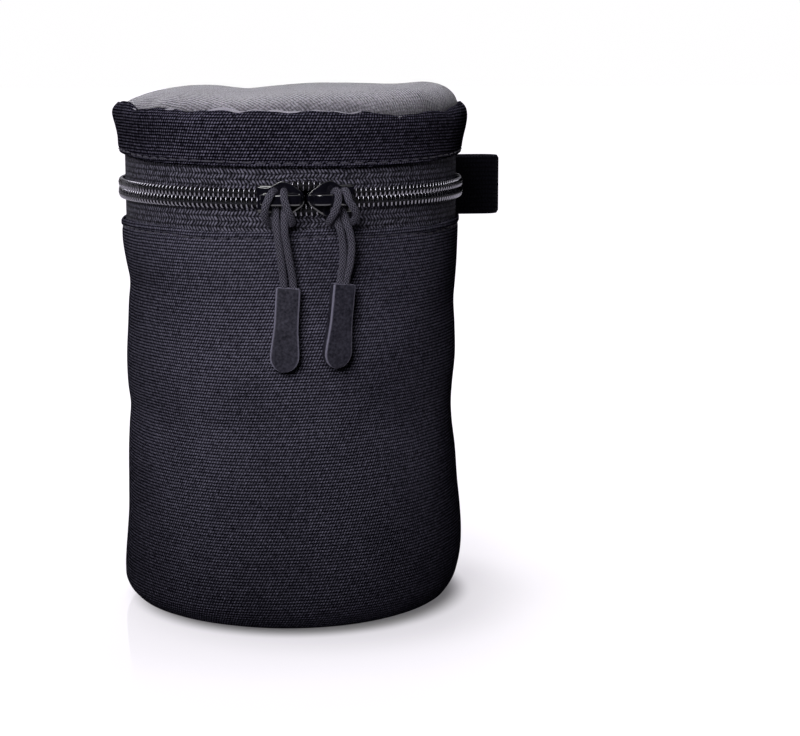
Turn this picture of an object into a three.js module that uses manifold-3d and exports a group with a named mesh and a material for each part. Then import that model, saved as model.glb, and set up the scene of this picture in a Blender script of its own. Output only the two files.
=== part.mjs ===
// A padded lens pouch: a soft cylinder with a zipped, hinged lid, two zip sliders with
// cord pulls and rubber tabs, and a webbing carry loop at the back.
// Millimetres, +Z up. The origin is the centre of the base on the surface that it stands on,
// -Y is the front, where the two sliders meet, and +Y is the hinge.

import * as THREE from 'three';
import { mergeVertices } from 'three/addons/utils/BufferGeometryUtils.js';
import Module from 'manifold-3d';

const wasm = await Module();
wasm.setup();

// Driving dimensions

// Body outline
const contactRadius = 46.5;     // where the rolled corner meets the floor
const bellyRadius = 53.8;       // widest, just above the corner
const bellyHeight = 17;
const waistRadius = 52.2;       // the sides draw in a little here
const waistHeight = 75;
const mouthRadius = 52.8;
const mouthHeight = 121;        // folded top edge of the body
const hemLift = 0.3;            // the side fabric's bottom edge stays off the floor

// Layers
const fabricThickness = 1.0;    // woven outer fabric with its backing
const foamThickness = 5.0;
const liningThickness = 0.6;
const basePanelThickness = 1.2;
const baseFoamThickness = 6.0;
const layerGap = 0.3;           // clearance between pieces that lie on each other
const bindingWidth = 2.8;

// Zip
const zipAboveMouth = 9.3;      // from the body's folded edge up to the middle of the chain
const tapeThickness = 0.7;
const tapeWidth = 16.8;         // one half, sewn-in part included
const chainGap = 1.0;           // between the two halves of the chain
const coilWidth = 2.4;          // one half
const coilHeight = 2.1;
const coilValley = 0.7;         // how far the coil dips between its turns
const coilTipCut = 0.25;        // how far the inner edge draws back between its turns
const coilPitch = 1.55;
const zipEndAngle = 144;        // degrees from the front, each way

// Hinge at the back
const hingePanelHalfAngle = 34; // degrees each way from the back
const hingePanelThickness = 0.7;

// Lid
const lidFootRadius = 53.4;
const lidFootAboveZip = 8.3;    // the band's folded bottom edge
const lidMidRadius = 53.8;
const lidMidAboveFoot = 8.4;
const rimRadius = 55.0;         // the band leans out to the seam
const rimAboveFoot = 15;
const rimCrest = 1.7;           // the seam allowance stands this far above the rim
const rimWidth = 2.5;
const crownAboveRim = 7.4;
const crownPlateauShare = 0.7;  // share of the top's radius that is nearly flat
const crownEdgeDrop = 7.6;      // from the plateau down to the seam
const lidFoamBelowRim = 3;

// Sliders
const sliderLength = 13.4;
const noseGap = 0.9;            // between the two sliders' noses, which meet at the front
const sliderTailHalfWidth = 3.9;
const sliderShoulderHalfWidth = 5.3;
const sliderNoseHalfWidth = 0.6;
const plateThickness = 1.2;
const backPlateThickness = 1.0;
const sliderClearance = 0.35;
const lipWidth = 0.7;
const lipTapeClearance = 0.5;
const postThickness = 0.4;
const postStart = 2.2;          // from the slider's middle towards its nose
const postLength = 2.6;
const bridgeTailReach = 5.9;
const bridgeNoseReach = 6.3;
const bridgeBarWidth = 2.4;
const bridgeBarThickness = 1.2;
const bridgeFootLength = 1.0;
const bridgeRoom = 3.15;        // between the slider's face and the bar

// Cord pulls
const cordDiameter = 2.2;
const tabLength = 24.5;
const tabTopWidth = 7.2;
const tabEndWidth = 8.7;
const tabThickness = 2.8;
const leftTabTop = { across: 1.9, out: 54.9, up: 105.2 };
const rightTabTop = { across: 3.4, out: 55.5, up: 105.6 };
const leftTabLean = -2.4;       // degrees, across the front
const rightTabLean = -4.0;
const rightTabYaw = 12;         // degrees about its length

// Carry loop
const strapWidth = 20;
const strapThickness = 1.5;
const strapTopAboveMouth = 14.7;
const strapLeftAngle = 26;      // degrees left of the back
const strapLeaveAngle = 4;      // degrees right of the back, where it leaves the pouch
const strapStraightEnd = 71;    // how far right the inner ply runs
const strapLoopDepth = 9.4;     // between the two plies' middles
const strapFlatStart = 11;      // the outer ply is sewn down from here
const strapFlatEnd = 19;

const roundSegments = 36;
const cordSides = 8;

// Worked-out sizes
const deg = THREE.MathUtils.degToRad;
const tapeRadius = mouthRadius - fabricThickness - layerGap;   // outer face of the tapes
const zipHeight = mouthHeight + zipAboveMouth;
const lidFootHeight = zipHeight + lidFootAboveZip;
const lidMidHeight = lidFootHeight + lidMidAboveFoot;
const rimHeight = lidFootHeight + rimAboveFoot;
const crownHeight = rimHeight + crownAboveRim;
const lidTopFoamBottom = rimHeight - lidFoamBelowRim;
const hingeHeight = lidFootHeight - layerGap;
const strapTop = mouthHeight + strapTopAboveMouth;
const tapeInner = tapeRadius - tapeThickness;
const lowerTapeTop = zipHeight - chainGap / 2;
const lowerTapeBottom = lowerTapeTop - tapeWidth;
const upperTapeBottom = zipHeight + chainGap / 2;
const upperTapeTop = upperTapeBottom + tapeWidth;
const foamInner = waistRadius - fabricThickness - layerGap - foamThickness;
const liningOuter = foamInner - layerGap;
const liningInner = liningOuter - liningThickness;
const baseFoamBottom = basePanelThickness + layerGap;
const baseFoamTop = baseFoamBottom + baseFoamThickness;
const baseLiningBottom = baseFoamTop + layerGap;
const baseLiningTop = baseLiningBottom + liningThickness;
const lidLiningTop = lidTopFoamBottom - layerGap;
const lidLiningBottom = lidLiningTop - liningThickness;
const behindTape = tapeInner - layerGap;   // outer limit of the foam where a tape lies over it
const coilBase = tapeRadius + layerGap;
const coilTop = coilBase + coilHeight;
const faceInner = coilTop + sliderClearance;
const faceOuter = faceInner + plateThickness;
const backOuter = tapeInner - sliderClearance;
const backInner = backOuter - backPlateThickness;
const sliderAngle = THREE.MathUtils.radToDeg((sliderLength + noseGap) / 2 / faceInner);

// Materials
const finish = (color, roughness, metalness = 0) =>
  new THREE.MeshStandardMaterial({ color, roughness, metalness });
const outerFabric = finish(0x24232c, 0.85);
const topFabric = finish(0x2b2a33, 0.85);
const tapeCloth = finish(0x1d1c24, 0.9);
const liningCloth = finish(0x2a2a2e, 0.95);
const foam = finish(0x3a3a3c, 0.95);
const coilNylon = finish(0x17171b, 0.4);
const blackMetal = finish(0x0e0e11, 0.3, 0.4);
const cordCloth = finish(0x25242c, 0.85);
const tabRubber = finish(0x2b2a33, 0.6);
const webbing = finish(0x101015, 0.85);

// Small helpers

// A point at an angle in degrees from the front, positive to the right.
const polar = (angle, radius, height) =>
  new THREE.Vector3(radius * Math.sin(deg(angle)), -radius * Math.cos(deg(angle)), height);

// Turns a closed geometry's faces outwards if they point in.
function faceOut(geometry) {
  const place = geometry.getAttribute('position');
  const index = geometry.getIndex();
  const corner = [new THREE.Vector3(), new THREE.Vector3(), new THREE.Vector3()];
  let volume = 0;
  for (let i = 0; i < index.count; i += 3) {
    corner.forEach((c, k) => c.fromBufferAttribute(place, index.getX(i + k)));
    volume += corner[0].dot(corner[1].clone().cross(corner[2]));
  }
  if (volume < 0) {
    for (let i = 0; i < index.count; i += 3) {
      const second = index.getX(i + 1);
      index.setX(i + 1, index.getX(i + 2));
      index.setX(i + 2, second);
    }
  }
  return geometry;
}

// A closed solid through a row of convex sections, each with as many points as the next.
function loft(sections) {
  const sides = sections[0].length;
  const last = (sections.length - 1) * sides;
  const corners = [];
  for (let i = 0; i + 1 < sections.length; i += 1) {
    for (let k = 0; k < sides; k += 1) {
      const a = i * sides + k;
      const b = i * sides + ((k + 1) % sides);
      corners.push(a, b, b + sides, a, b + sides, a + sides);
    }
  }
  for (let k = 1; k + 1 < sides; k += 1) {
    corners.push(0, k + 1, k, last, last + k, last + k + 1);
  }
  const geometry = new THREE.BufferGeometry().setFromPoints(sections.flat());
  geometry.setIndex(corners);
  return faceOut(geometry);
}

// A full ring from a closed outline of [radius, height] points.
function turned(outline) {
  const points = outline.map(([radius, height]) => new THREE.Vector2(radius, height));
  const onAxis = outline[0][0] === 0 && outline[outline.length - 1][0] === 0;
  if (!onAxis) points.push(points[0].clone());
  const lathe = new THREE.LatheGeometry(points, roundSegments).rotateX(Math.PI / 2);
  lathe.deleteAttribute('normal');
  lathe.deleteAttribute('uv');
  return faceOut(mergeVertices(lathe));
}

// A curved strip along the zip's circle, from one angle to another, with a section at each step.
function arcStrip(from, to, steps, sectionAt) {
  const sections = [];
  for (let i = 0; i <= steps; i += 1) {
    const angle = from + ((to - from) * i) / steps;
    sections.push(sectionAt(i).map(([radius, height]) => polar(angle, radius, height)));
  }
  return loft(sections);
}

// The same outline moved inwards by a distance, square to its own line.
function inset(outline, distance) {
  return outline.map((point, i) => {
    const before = outline[Math.max(i - 1, 0)];
    const after = outline[Math.min(i + 1, outline.length - 1)];
    const run = new THREE.Vector2(after[0] - before[0], after[1] - before[1]).normalize();
    return [point[0] - run.y * distance, point[1] + run.x * distance];
  });
}

const box = (inner, outer, low, high) => [[inner, low], [outer, low], [outer, high], [inner, high]];

function toSolid(geometry) {
  const bare = geometry.clone();
  bare.deleteAttribute('normal');
  bare.deleteAttribute('uv');
  const merged = mergeVertices(bare);
  return new wasm.Manifold(new wasm.Mesh({
    numProp: 3,
    vertProperties: new Float32Array(merged.getAttribute('position').array),
    triVerts: new Uint32Array(merged.getIndex().array),
  }));
}

function joined(geometries) {
  const solid = geometries.map(toSolid).reduce((all, one) => all.add(one));
  const mesh = solid.getMesh();
  const geometry = new THREE.BufferGeometry();
  geometry.setAttribute('position', new THREE.BufferAttribute(mesh.vertProperties, mesh.numProp));
  geometry.setIndex(new THREE.BufferAttribute(mesh.triVerts, 1));
  return geometry;
}

function piece(name, geometry, material, parent) {
  const mesh = new THREE.Mesh(geometry, material);
  mesh.name = name;
  parent.add(mesh);
  return mesh;
}

// Body

// The side's outer line from the floor up: a rolled corner, then a slight waist.
function bodyOutline() {
  const cornerSteps = 5;
  const line = [];
  for (let i = 0; i <= cornerSteps; i += 1) {
    const turn = (Math.PI / 2) * (i / cornerSteps);
    line.push([
      contactRadius + (bellyRadius - contactRadius) * Math.sin(turn),
      hemLift + (bellyHeight - hemLift) * (1 - Math.cos(turn)),
    ]);
  }
  line.push([(bellyRadius + waistRadius) / 2, (bellyHeight + waistHeight) / 2]);
  line.push([waistRadius, waistHeight]);
  line.push([mouthRadius, mouthHeight]);
  return line;
}

function bodyShell() {
  const outer = bodyOutline();
  const inner = inset(outer, fabricThickness);
  inner[0] = [contactRadius, hemLift + fabricThickness];
  inner[inner.length - 1] = [mouthRadius - fabricThickness, mouthHeight];
  return turned([...outer, ...inner.reverse()]);
}

// The wall foam stops under the zip tape, behind which only a thinned edge runs up.
function bodyFoam() {
  const depth = fabricThickness + layerGap;
  const shoulder = lowerTapeBottom - layerGap;
  const outer = inset(bodyOutline(), depth).filter(([radius]) => radius > foamInner + layerGap);
  outer.pop();
  const edgeTop = mouthHeight - bindingWidth;
  const taper = behindTape - layerGap - foamInner;
  return turned([
    [foamInner, outer[0][1]],
    ...outer,
    [mouthRadius - depth - layerGap, shoulder],
    [behindTape, shoulder],
    [behindTape, edgeTop],
    [behindTape - layerGap, edgeTop],
    [foamInner, edgeTop - taper],
  ]);
}

function bodyLining() {
  const edgeTop = mouthHeight - bindingWidth + layerGap;
  const taper = behindTape - layerGap - foamInner;
  const knee = edgeTop - taper;
  return turned([
    [liningInner, baseLiningTop + layerGap],
    [liningOuter, baseLiningTop + layerGap],
    [liningOuter, knee + layerGap],
    [liningOuter + taper, edgeTop + layerGap],
    [liningOuter + taper, edgeTop + layerGap + liningThickness],
    [liningInner, knee + layerGap + liningThickness / 2],
  ]);
}

const disc = (radius, low, high) => turned([[0, low], [radius, low], [radius, high], [0, high]]);

// A three-cornered tape sewn into the inner corner, standing up from a floor or down from a roof.
function cornerBinding(floor, direction) {
  const edge = liningInner - layerGap;
  const low = floor + direction * layerGap;
  return turned([[edge - bindingWidth, low], [edge, low], [edge, low + direction * bindingWidth]]);
}

// Lid

const bandOuter = [
  [lidFootRadius, lidFootHeight],
  [lidMidRadius, lidMidHeight],
  [rimRadius, rimHeight],
  [rimRadius - rimWidth / 5, rimHeight + rimCrest * 0.75],
  [rimRadius - rimWidth / 2, rimHeight + rimCrest],
  [rimRadius - rimWidth, rimHeight + rimCrest * 0.7],
];
const seamRadius = rimRadius - rimWidth - layerGap;

function lidBand() {
  return turned([
    ...bandOuter,
    [rimRadius - rimWidth, rimHeight + layerGap],
    [rimRadius - fabricThickness, rimHeight - fabricThickness],
    [lidMidRadius - fabricThickness, lidMidHeight],
    [lidFootRadius - fabricThickness, lidFootHeight],
  ]);
}

// The padded top's outer line from its seam in to the middle.
function crownOutline() {
  const steps = 5;
  const plateau = seamRadius * crownPlateauShare;
  const line = [];
  for (let i = 0; i <= steps; i += 1) {
    const turn = (Math.PI / 2) * (i / steps);
    line.push([
      plateau + (seamRadius - plateau) * Math.cos(turn),
      crownHeight - crownEdgeDrop * (1 - Math.sin(turn)),
    ]);
  }
  line.push([0, crownHeight]);
  return line;
}

function lidTop() {
  const outer = crownOutline();
  const inner = inset(outer, fabricThickness);
  inner[0] = [seamRadius - fabricThickness, crownHeight - crownEdgeDrop];
  inner[inner.length - 1] = [0, crownHeight - fabricThickness];
  return turned([...inner.reverse(), ...outer].reverse());
}

function lidTopFoam() {
  const depth = fabricThickness + layerGap;
  const upper = inset(crownOutline(), depth);
  upper[0] = [seamRadius - depth, crownHeight - crownEdgeDrop];
  upper[upper.length - 1] = [0, crownHeight - depth];
  return turned([[0, lidTopFoamBottom], [seamRadius - depth, lidTopFoamBottom], ...upper]);
}

function lidBandFoam() {
  const shoulder = upperTapeTop + layerGap;
  const edgeBottom = lidFootHeight + layerGap * 6;
  const taper = behindTape - layerGap - foamInner;
  const outer = lidMidRadius - fabricThickness - layerGap;
  return turned([
    [foamInner, edgeBottom + taper],
    [behindTape - layerGap, edgeBottom],
    [behindTape, edgeBottom],
    [behindTape, shoulder],
    [outer, shoulder],
    [outer, lidLiningTop],
    [foamInner, lidLiningTop],
  ]);
}

function lidBandLining() {
  const edgeBottom = lidFootHeight + layerGap * 5;
  const taper = behindTape - layerGap - foamInner;
  return turned([
    [liningInner, edgeBottom + taper - layerGap - liningThickness / 2],
    [liningOuter + taper, edgeBottom - layerGap - liningThickness],
    [liningOuter + taper, edgeBottom - layerGap],
    [liningOuter, edgeBottom + taper - layerGap],
    [liningOuter, lidLiningBottom - layerGap],
    [liningInner, lidLiningBottom - layerGap],
  ]);
}

// Zip

const tape = (low, high) =>
  arcStrip(-zipEndAngle, zipEndAngle, 38, () => box(tapeInner, tapeRadius, low, high));

// One half of the chain: a bead that rises and dips with each turn of its coil.
function coil(direction) {
  const arc = deg(2 * zipEndAngle) * coilTop;
  const turns = Math.round(arc / coilPitch);
  const near = zipHeight + (direction * chainGap) / 2;
  const far = near + direction * coilWidth;
  return arcStrip(-zipEndAngle, zipEndAngle, turns * 2, (i) => {
    const dip = i % 2;
    const top = coilTop - dip * coilValley;
    const tip = near + dip * direction * coilTipCut;
    return [[coilBase, far], [top - coilValley, far], [top, tip], [coilBase, tip]];
  });
}

const backStrip = (low, high) =>
  arcStrip(180 - hingePanelHalfAngle, 180 + hingePanelHalfAngle, 7, () =>
    box(tapeRadius - hingePanelThickness, tapeRadius, low, high));

// Sliders, made in their own frame: x along the zip, -y out of the pouch.
// nose is 1 where the slider's wide end points along +x, and -1 where it points along -x.

// Half the slider's width, from its square tail to its rounded nose.
const sliderShape = [
  [-0.5, sliderTailHalfWidth],
  [-0.22, sliderTailHalfWidth],
  [-0.1, (sliderTailHalfWidth + sliderShoulderHalfWidth) / 2],
  [0, sliderShoulderHalfWidth],
  [0.12, sliderShoulderHalfWidth * 0.97],
  [0.24, sliderShoulderHalfWidth * 0.82],
  [0.36, sliderShoulderHalfWidth * 0.6],
  [0.44, sliderShoulderHalfWidth * 0.4],
  [0.5, sliderNoseHalfWidth],
];

function sliderBody(nose) {
  const angleOf = (along) => (nose * along * 180) / (Math.PI * faceInner);
  const bent = (rows) => loft(rows.map(([along, section]) =>
    section.map(([radius, height]) => polar(angleOf(along), radius, zipHeight + height))));
  const plate = (inner, outer) => bent(sliderShape.map(([share, half]) =>
    [share * sliderLength, box(inner, outer, -half, half)]));
  const lipInner = sliderTailHalfWidth - lipWidth;
  const lip = (side) => bent([-0.5, -0.33, -0.2].map((share) => [
    share * sliderLength,
    box(tapeRadius + lipTapeClearance, faceInner + plateThickness / 2,
      side * lipInner, side * sliderTailHalfWidth),
  ]));
  const post = bent([postStart, postStart + postLength].map((along) => [
    along,
    box(backInner + backPlateThickness / 2, faceInner + plateThickness / 2,
      -postThickness / 2, postThickness / 2),
  ]));
  return joined([plate(faceInner, faceOuter), plate(backInner, backOuter), lip(1), lip(-1), post]);
}

// The bar that the cord goes round, with a foot at each end on the slider's face.
function sliderBridge(nose) {
  const foot = faceOuter + layerGap;
  const under = faceOuter + bridgeRoom;
  const over = under + bridgeBarThickness;
  const bevel = bridgeBarThickness / 2;
  const outline = [
    [-bridgeTailReach, foot],
    [-bridgeTailReach + bridgeFootLength, foot],
    [-bridgeTailReach + bridgeFootLength, under],
    [bridgeNoseReach - bridgeFootLength, under],
    [bridgeNoseReach - bridgeFootLength, foot],
    [bridgeNoseReach, foot],
    [bridgeNoseReach, over - bevel],
    [bridgeNoseReach - bevel, over],
    [-bridgeTailReach + bevel, over],
    [-bridgeTailReach, over - bevel],
  ];
  const shape = new THREE.Shape(outline.map(([along, out]) => new THREE.Vector2(nose * along, -out)));
  const bar = new THREE.ExtrudeGeometry(shape, { depth: bridgeBarWidth, bevelEnabled: false });
  return bar.translate(0, 0, zipHeight - bridgeBarWidth / 2);
}

// Cords. Each point is [along the zip, out from the axis, up], in the slider's own frame.
// A cord leaves the tab, goes up behind the bar, over it and down in front, crosses behind its
// own two legs, and comes back over the bar the same way.
const leftCord = [
  [0.6, 54.9, 105.5], [0.4, 55.2, 107.0], [-0.2, 56.3, 112.0], [-0.9, 57.5, 117.5],
  [-1.3, 58.1, 121.3], [-1.4, 58.1, 123.2], [-1.4, 57.6, 125.0], [-1.4, 57.0, 126.6],
  [-1.4, 56.7, 128.3], [-1.4, 56.65, 130.3], [-1.5, 57.4, 132.1], [-1.8, 59.2, 132.85],
  [-2.5, 61.0, 132.1], [-3.4, 61.75, 130.3], [-4.1, 61.6, 128.2], [-4.3, 60.6, 126.3],
  [-4.1, 58.9, 124.7], [-3.4, 57.0, 123.7], [-1.9, 55.7, 123.2], [-0.1, 55.5, 123.1],
  [1.7, 55.7, 123.2], [3.3, 57.0, 123.7], [3.3, 58.9, 124.7], [2.7, 60.6, 126.3],
  [2.1, 61.6, 128.2], [1.5, 61.75, 130.3], [1.2, 61.0, 132.1], [1.1, 59.2, 132.85],
  [1.1, 57.4, 132.1], [1.1, 56.65, 130.3], [1.1, 56.7, 128.3], [1.1, 57.0, 126.6],
  [1.1, 57.6, 125.0], [1.1, 58.1, 123.2], [1.2, 58.1, 121.3], [1.6, 57.5, 117.5],
  [2.3, 56.3, 112.0], [3.0, 55.2, 107.0], [3.2, 54.9, 105.5],
];
const rightCord = [
  [2.1, 55.5, 105.9], [2.3, 55.7, 107.4], [2.9, 56.5, 112.0], [2.7, 57.5, 117.5],
  [2.0, 58.1, 121.3], [1.3, 58.1, 123.2], [0.9, 57.6, 125.0], [0.5, 57.0, 126.6],
  [0.3, 56.7, 128.3], [0.3, 56.65, 130.3], [0.4, 57.4, 132.1], [0.6, 59.2, 132.85],
  [0.7, 61.0, 132.1], [0.5, 61.75, 130.3], [0.0, 61.6, 128.2], [-0.6, 60.6, 126.3],
  [-1.1, 58.9, 124.7], [-0.9, 57.0, 123.7], [0.7, 55.7, 123.2], [2.5, 55.5, 123.1],
  [4.3, 55.7, 123.2], [5.8, 57.0, 123.7], [6.3, 58.9, 124.7], [6.1, 60.6, 126.3],
  [5.0, 61.6, 128.2], [3.65, 61.75, 130.3], [3.3, 61.0, 132.1], [3.1, 59.2, 132.85],
  [2.9, 57.4, 132.1], [2.8, 56.65, 130.3], [2.8, 56.7, 128.3], [3.0, 57.0, 126.6],
  [3.4, 57.6, 125.0], [3.8, 58.1, 123.2], [4.6, 58.1, 121.3], [5.4, 57.5, 117.5],
  [5.5, 56.5, 112.0], [4.9, 55.7, 107.4], [4.7, 55.5, 105.9],
];

function cord(points) {
  const path = new THREE.CatmullRomCurve3(
    points.map(([along, out, up]) => new THREE.Vector3(along, -out, up)), false, 'centripetal');
  const radius = cordDiameter / 2;
  const corners = [];
  for (let i = 0; i < cordSides; i += 1) {
    const turn = (2 * Math.PI * i) / cordSides;
    corners.push(new THREE.Vector2(radius * Math.cos(turn), radius * Math.sin(turn)));
  }
  return new THREE.ExtrudeGeometry(new THREE.Shape(corners), {
    steps: 2 * (points.length - 1), extrudePath: path, bevelEnabled: false,
  });
}

// The rubber tab, hanging from the middle of its top edge: [share of its length, of the way from
// its top width to its end width, of its thickness, of its width kept by the rounded end].
const tabShares = [
  [0, 0, 0.85, 1], [0.03, 0, 1, 1], [0.45, 0.06, 1, 1], [0.62, 0.28, 1, 1], [0.76, 0.8, 1, 1],
  [0.86, 1, 0.96, 0.98], [0.93, 1, 0.88, 0.82], [0.975, 1, 0.75, 0.58], [1, 1, 0.6, 0.3],
];

function tab() {
  const cornerShare = 0.3;      // of the thickness, cut off each long edge
  return loft(tabShares.map(([down, flare, thick, kept]) => {
    const half = ((tabTopWidth + (tabEndWidth - tabTopWidth) * flare) * kept) / 2;
    const deep = (tabThickness * thick) / 2;
    const cut = tabThickness * thick * cornerShare;
    const height = -down * tabLength;
    return [
      [half, deep - cut], [half - cut, deep], [-half + cut, deep], [-half, deep - cut],
      [-half, -deep + cut], [-half + cut, -deep], [half - cut, -deep], [half, -deep + cut],
    ].map(([across, out]) => new THREE.Vector3(across, out, height));
  }));
}

// Carry loop: webbing sewn flat across the back, out to the right, round and back on itself.
function strapPath() {
  const seat = mouthRadius + layerGap + strapThickness / 2;
  const points = [];
  const arcSteps = 6;
  for (let i = 0; i <= arcSteps; i += 1) {
    const angle = 180 + strapLeftAngle - ((strapLeftAngle + strapLeaveAngle) * i) / arcSteps;
    points.push(polar(angle, seat, 0));
  }
  const straight = points[points.length - 1].y;
  const turnRadius = strapLoopDepth / 2;
  points.push(new THREE.Vector3(strapFlatStart, straight, 0));
  points.push(new THREE.Vector3(strapFlatEnd, straight, 0));
  points.push(new THREE.Vector3((strapFlatEnd + strapStraightEnd) / 2, straight, 0));
  const turnSteps = 6;
  for (let i = 0; i <= turnSteps; i += 1) {
    const turn = (Math.PI * i) / turnSteps;
    points.push(new THREE.Vector3(
      strapStraightEnd + turnRadius * Math.sin(turn),
      straight + turnRadius * (1 - Math.cos(turn)), 0));
  }
  const stacked = straight + strapThickness + layerGap;
  const back = straight + strapLoopDepth;
  const rise = strapStraightEnd - strapFlatEnd;
  [[0.3, 0.99], [0.5, 0.86], [0.7, 0.56], [0.88, 0.17]].forEach(([share, kept]) => {
    points.push(new THREE.Vector3(
      strapStraightEnd - rise * share, stacked + (back - stacked) * kept, 0));
  });
  points.push(new THREE.Vector3(strapFlatEnd, stacked, 0));
  points.push(new THREE.Vector3(strapFlatStart, stacked, 0));
  return points;
}

function strap() {
  const points = strapPath();
  const low = strapTop - strapWidth;
  return loft(points.map((point, i) => {
    const before = points[Math.max(i - 1, 0)];
    const after = points[Math.min(i + 1, points.length - 1)];
    const run = after.clone().sub(before).normalize();
    const side = new THREE.Vector3(-run.y, run.x, 0).multiplyScalar(strapThickness / 2);
    const left = point.clone().add(side);
    const right = point.clone().sub(side);
    return [
      new THREE.Vector3(left.x, left.y, low), new THREE.Vector3(right.x, right.y, low),
      new THREE.Vector3(right.x, right.y, strapTop), new THREE.Vector3(left.x, left.y, strapTop),
    ];
  }));
}

// Assembly

const pouch = new THREE.Group();
const body = new THREE.Group();
const lid = new THREE.Group();
pouch.add(body, lid);

piece('body_shell', bodyShell(), outerFabric, body);
piece('body_foam', bodyFoam(), foam, body);
piece('body_lining', bodyLining(), liningCloth, body);
piece('base_panel', disc(contactRadius - layerGap, 0, basePanelThickness), outerFabric, body);
piece('base_foam', disc(foamInner - layerGap, baseFoamBottom, baseFoamTop), foam, body);
piece('base_lining', disc(foamInner - layerGap, baseLiningBottom, baseLiningTop), liningCloth, body);
piece('base_binding', cornerBinding(baseLiningTop, 1), tapeCloth, body);
piece('lower_tape', tape(lowerTapeBottom, lowerTapeTop), tapeCloth, body);
piece('lower_coil', coil(-1), coilNylon, body);
piece('hinge_panel', backStrip(lowerTapeBottom, hingeHeight - layerGap), outerFabric, body);
piece('carry_strap', strap(), webbing, body);

piece('lid_band', lidBand(), outerFabric, lid);
piece('lid_top', lidTop(), topFabric, lid);
piece('lid_band_foam', lidBandFoam(), foam, lid);
piece('lid_top_foam', lidTopFoam(), foam, lid);
piece('lid_band_lining', lidBandLining(), liningCloth, lid);
piece('lid_top_lining', disc(foamInner - layerGap, lidLiningBottom, lidLiningTop), liningCloth, lid);
piece('lid_binding', cornerBinding(lidLiningBottom, -1), tapeCloth, lid);
piece('upper_tape', tape(upperTapeBottom, upperTapeTop), tapeCloth, lid);
piece('upper_coil', coil(1), coilNylon, lid);
piece('lid_hinge_panel', backStrip(lidFootHeight, upperTapeTop), outerFabric, lid);

function slider(side, angle, nose, route, tabTop, lean, yaw) {
  const group = new THREE.Group();
  group.rotation.z = deg(angle);
  pouch.add(group);
  piece(`${side}_slider_body`, sliderBody(nose), blackMetal, group);
  piece(`${side}_slider_bridge`, sliderBridge(nose), blackMetal, group);
  piece(`${side}_pull_cord`, cord(route), cordCloth, group);
  const hanging = piece(`${side}_pull_tab`, tab(), tabRubber, group);
  hanging.position.set(tabTop.across, -tabTop.out, tabTop.up);
  hanging.rotation.order = 'YZX';
  hanging.rotation.y = deg(-lean);
  hanging.rotation.z = deg(yaw);
}

slider('left', -sliderAngle, 1, leftCord, leftTabTop, leftTabLean, 0);
slider('right', sliderAngle, -1, rightCord, rightTabTop, rightTabLean, rightTabYaw);

export default pouch;
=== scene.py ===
"""The looks of a padded lens pouch: woven cloth, coil zip, cord pulls, webbing and lining.

Metres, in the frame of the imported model: +Z up, -Y the front where the two sliders meet, and the
origin on the floor under the middle of the base. Lengths are millimetres times MM, and angles
round the pouch are degrees from the front, positive to the right.
"""

import math

import bmesh
import bpy
import numpy as np
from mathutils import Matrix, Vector


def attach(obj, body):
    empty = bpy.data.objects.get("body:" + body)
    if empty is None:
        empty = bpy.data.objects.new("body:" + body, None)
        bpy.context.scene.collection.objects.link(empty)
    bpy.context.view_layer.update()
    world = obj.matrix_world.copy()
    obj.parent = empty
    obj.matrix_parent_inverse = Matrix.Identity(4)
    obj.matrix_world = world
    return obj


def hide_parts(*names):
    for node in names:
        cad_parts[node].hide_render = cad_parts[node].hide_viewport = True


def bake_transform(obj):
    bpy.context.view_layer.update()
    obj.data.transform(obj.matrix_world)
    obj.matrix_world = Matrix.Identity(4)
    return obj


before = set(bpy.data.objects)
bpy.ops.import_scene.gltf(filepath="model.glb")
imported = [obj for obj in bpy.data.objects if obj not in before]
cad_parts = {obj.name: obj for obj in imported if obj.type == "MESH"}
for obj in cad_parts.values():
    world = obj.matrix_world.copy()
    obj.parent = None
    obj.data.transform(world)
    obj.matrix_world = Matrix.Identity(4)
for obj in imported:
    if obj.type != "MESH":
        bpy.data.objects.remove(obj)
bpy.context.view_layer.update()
scene = bpy.context.scene

MM = 0.001
TURN = 2 * math.pi


# Camera

CAMERA_PLACE = (-47.8 * MM, -624.1 * MM, 177.2 * MM)
CAMERA_HEADING = 7.5        # degrees to the right of straight ahead
CAMERA_PITCH = 9.55         # degrees down
CAMERA_LENS = 89.55         # on a 36 mm sensor
FACING = -4.4               # the side of the pouch that faces the camera, degrees


def add_camera():
    """A camera at the photo's viewing angle."""
    camera = bpy.data.objects.new("camera", bpy.data.cameras.new("camera"))
    scene.collection.objects.link(camera)
    heading, pitch = math.radians(CAMERA_HEADING), math.radians(CAMERA_PITCH)
    look = Vector((math.sin(heading) * math.cos(pitch), math.cos(heading) * math.cos(pitch),
                   -math.sin(pitch)))
    camera.location = CAMERA_PLACE
    camera.rotation_euler = look.to_track_quat("-Z", "Y").to_euler()
    camera.data.lens = CAMERA_LENS
    camera.data.sensor_width = 36
    camera.data.clip_start = 0.01
    scene.camera = camera


add_camera()


# Sizes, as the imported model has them

TAPE_OUTER = 51.5 * MM      # radius of the tapes' outer face
TAPE_INNER = 50.8 * MM
ZIP_HEIGHT = 130.3 * MM     # middle of the chain
CHAIN_GAP = 1.0 * MM
TAPE_WIDTH = 16.8 * MM
ZIP_END = 144               # degrees from the front
TAPE_END = 145.9            # the tapes go on to the hinge cloth
MOUTH_HEIGHT = 120.9 * MM
HINGE_HALF_ANGLE = 34       # degrees each way from the back
CLOTH_THICKNESS = 1.0 * MM
LAYER_GAP = 0.3 * MM
UNROLL_RADIUS = 53 * MM     # cloth that goes round is measured at this radius

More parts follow.
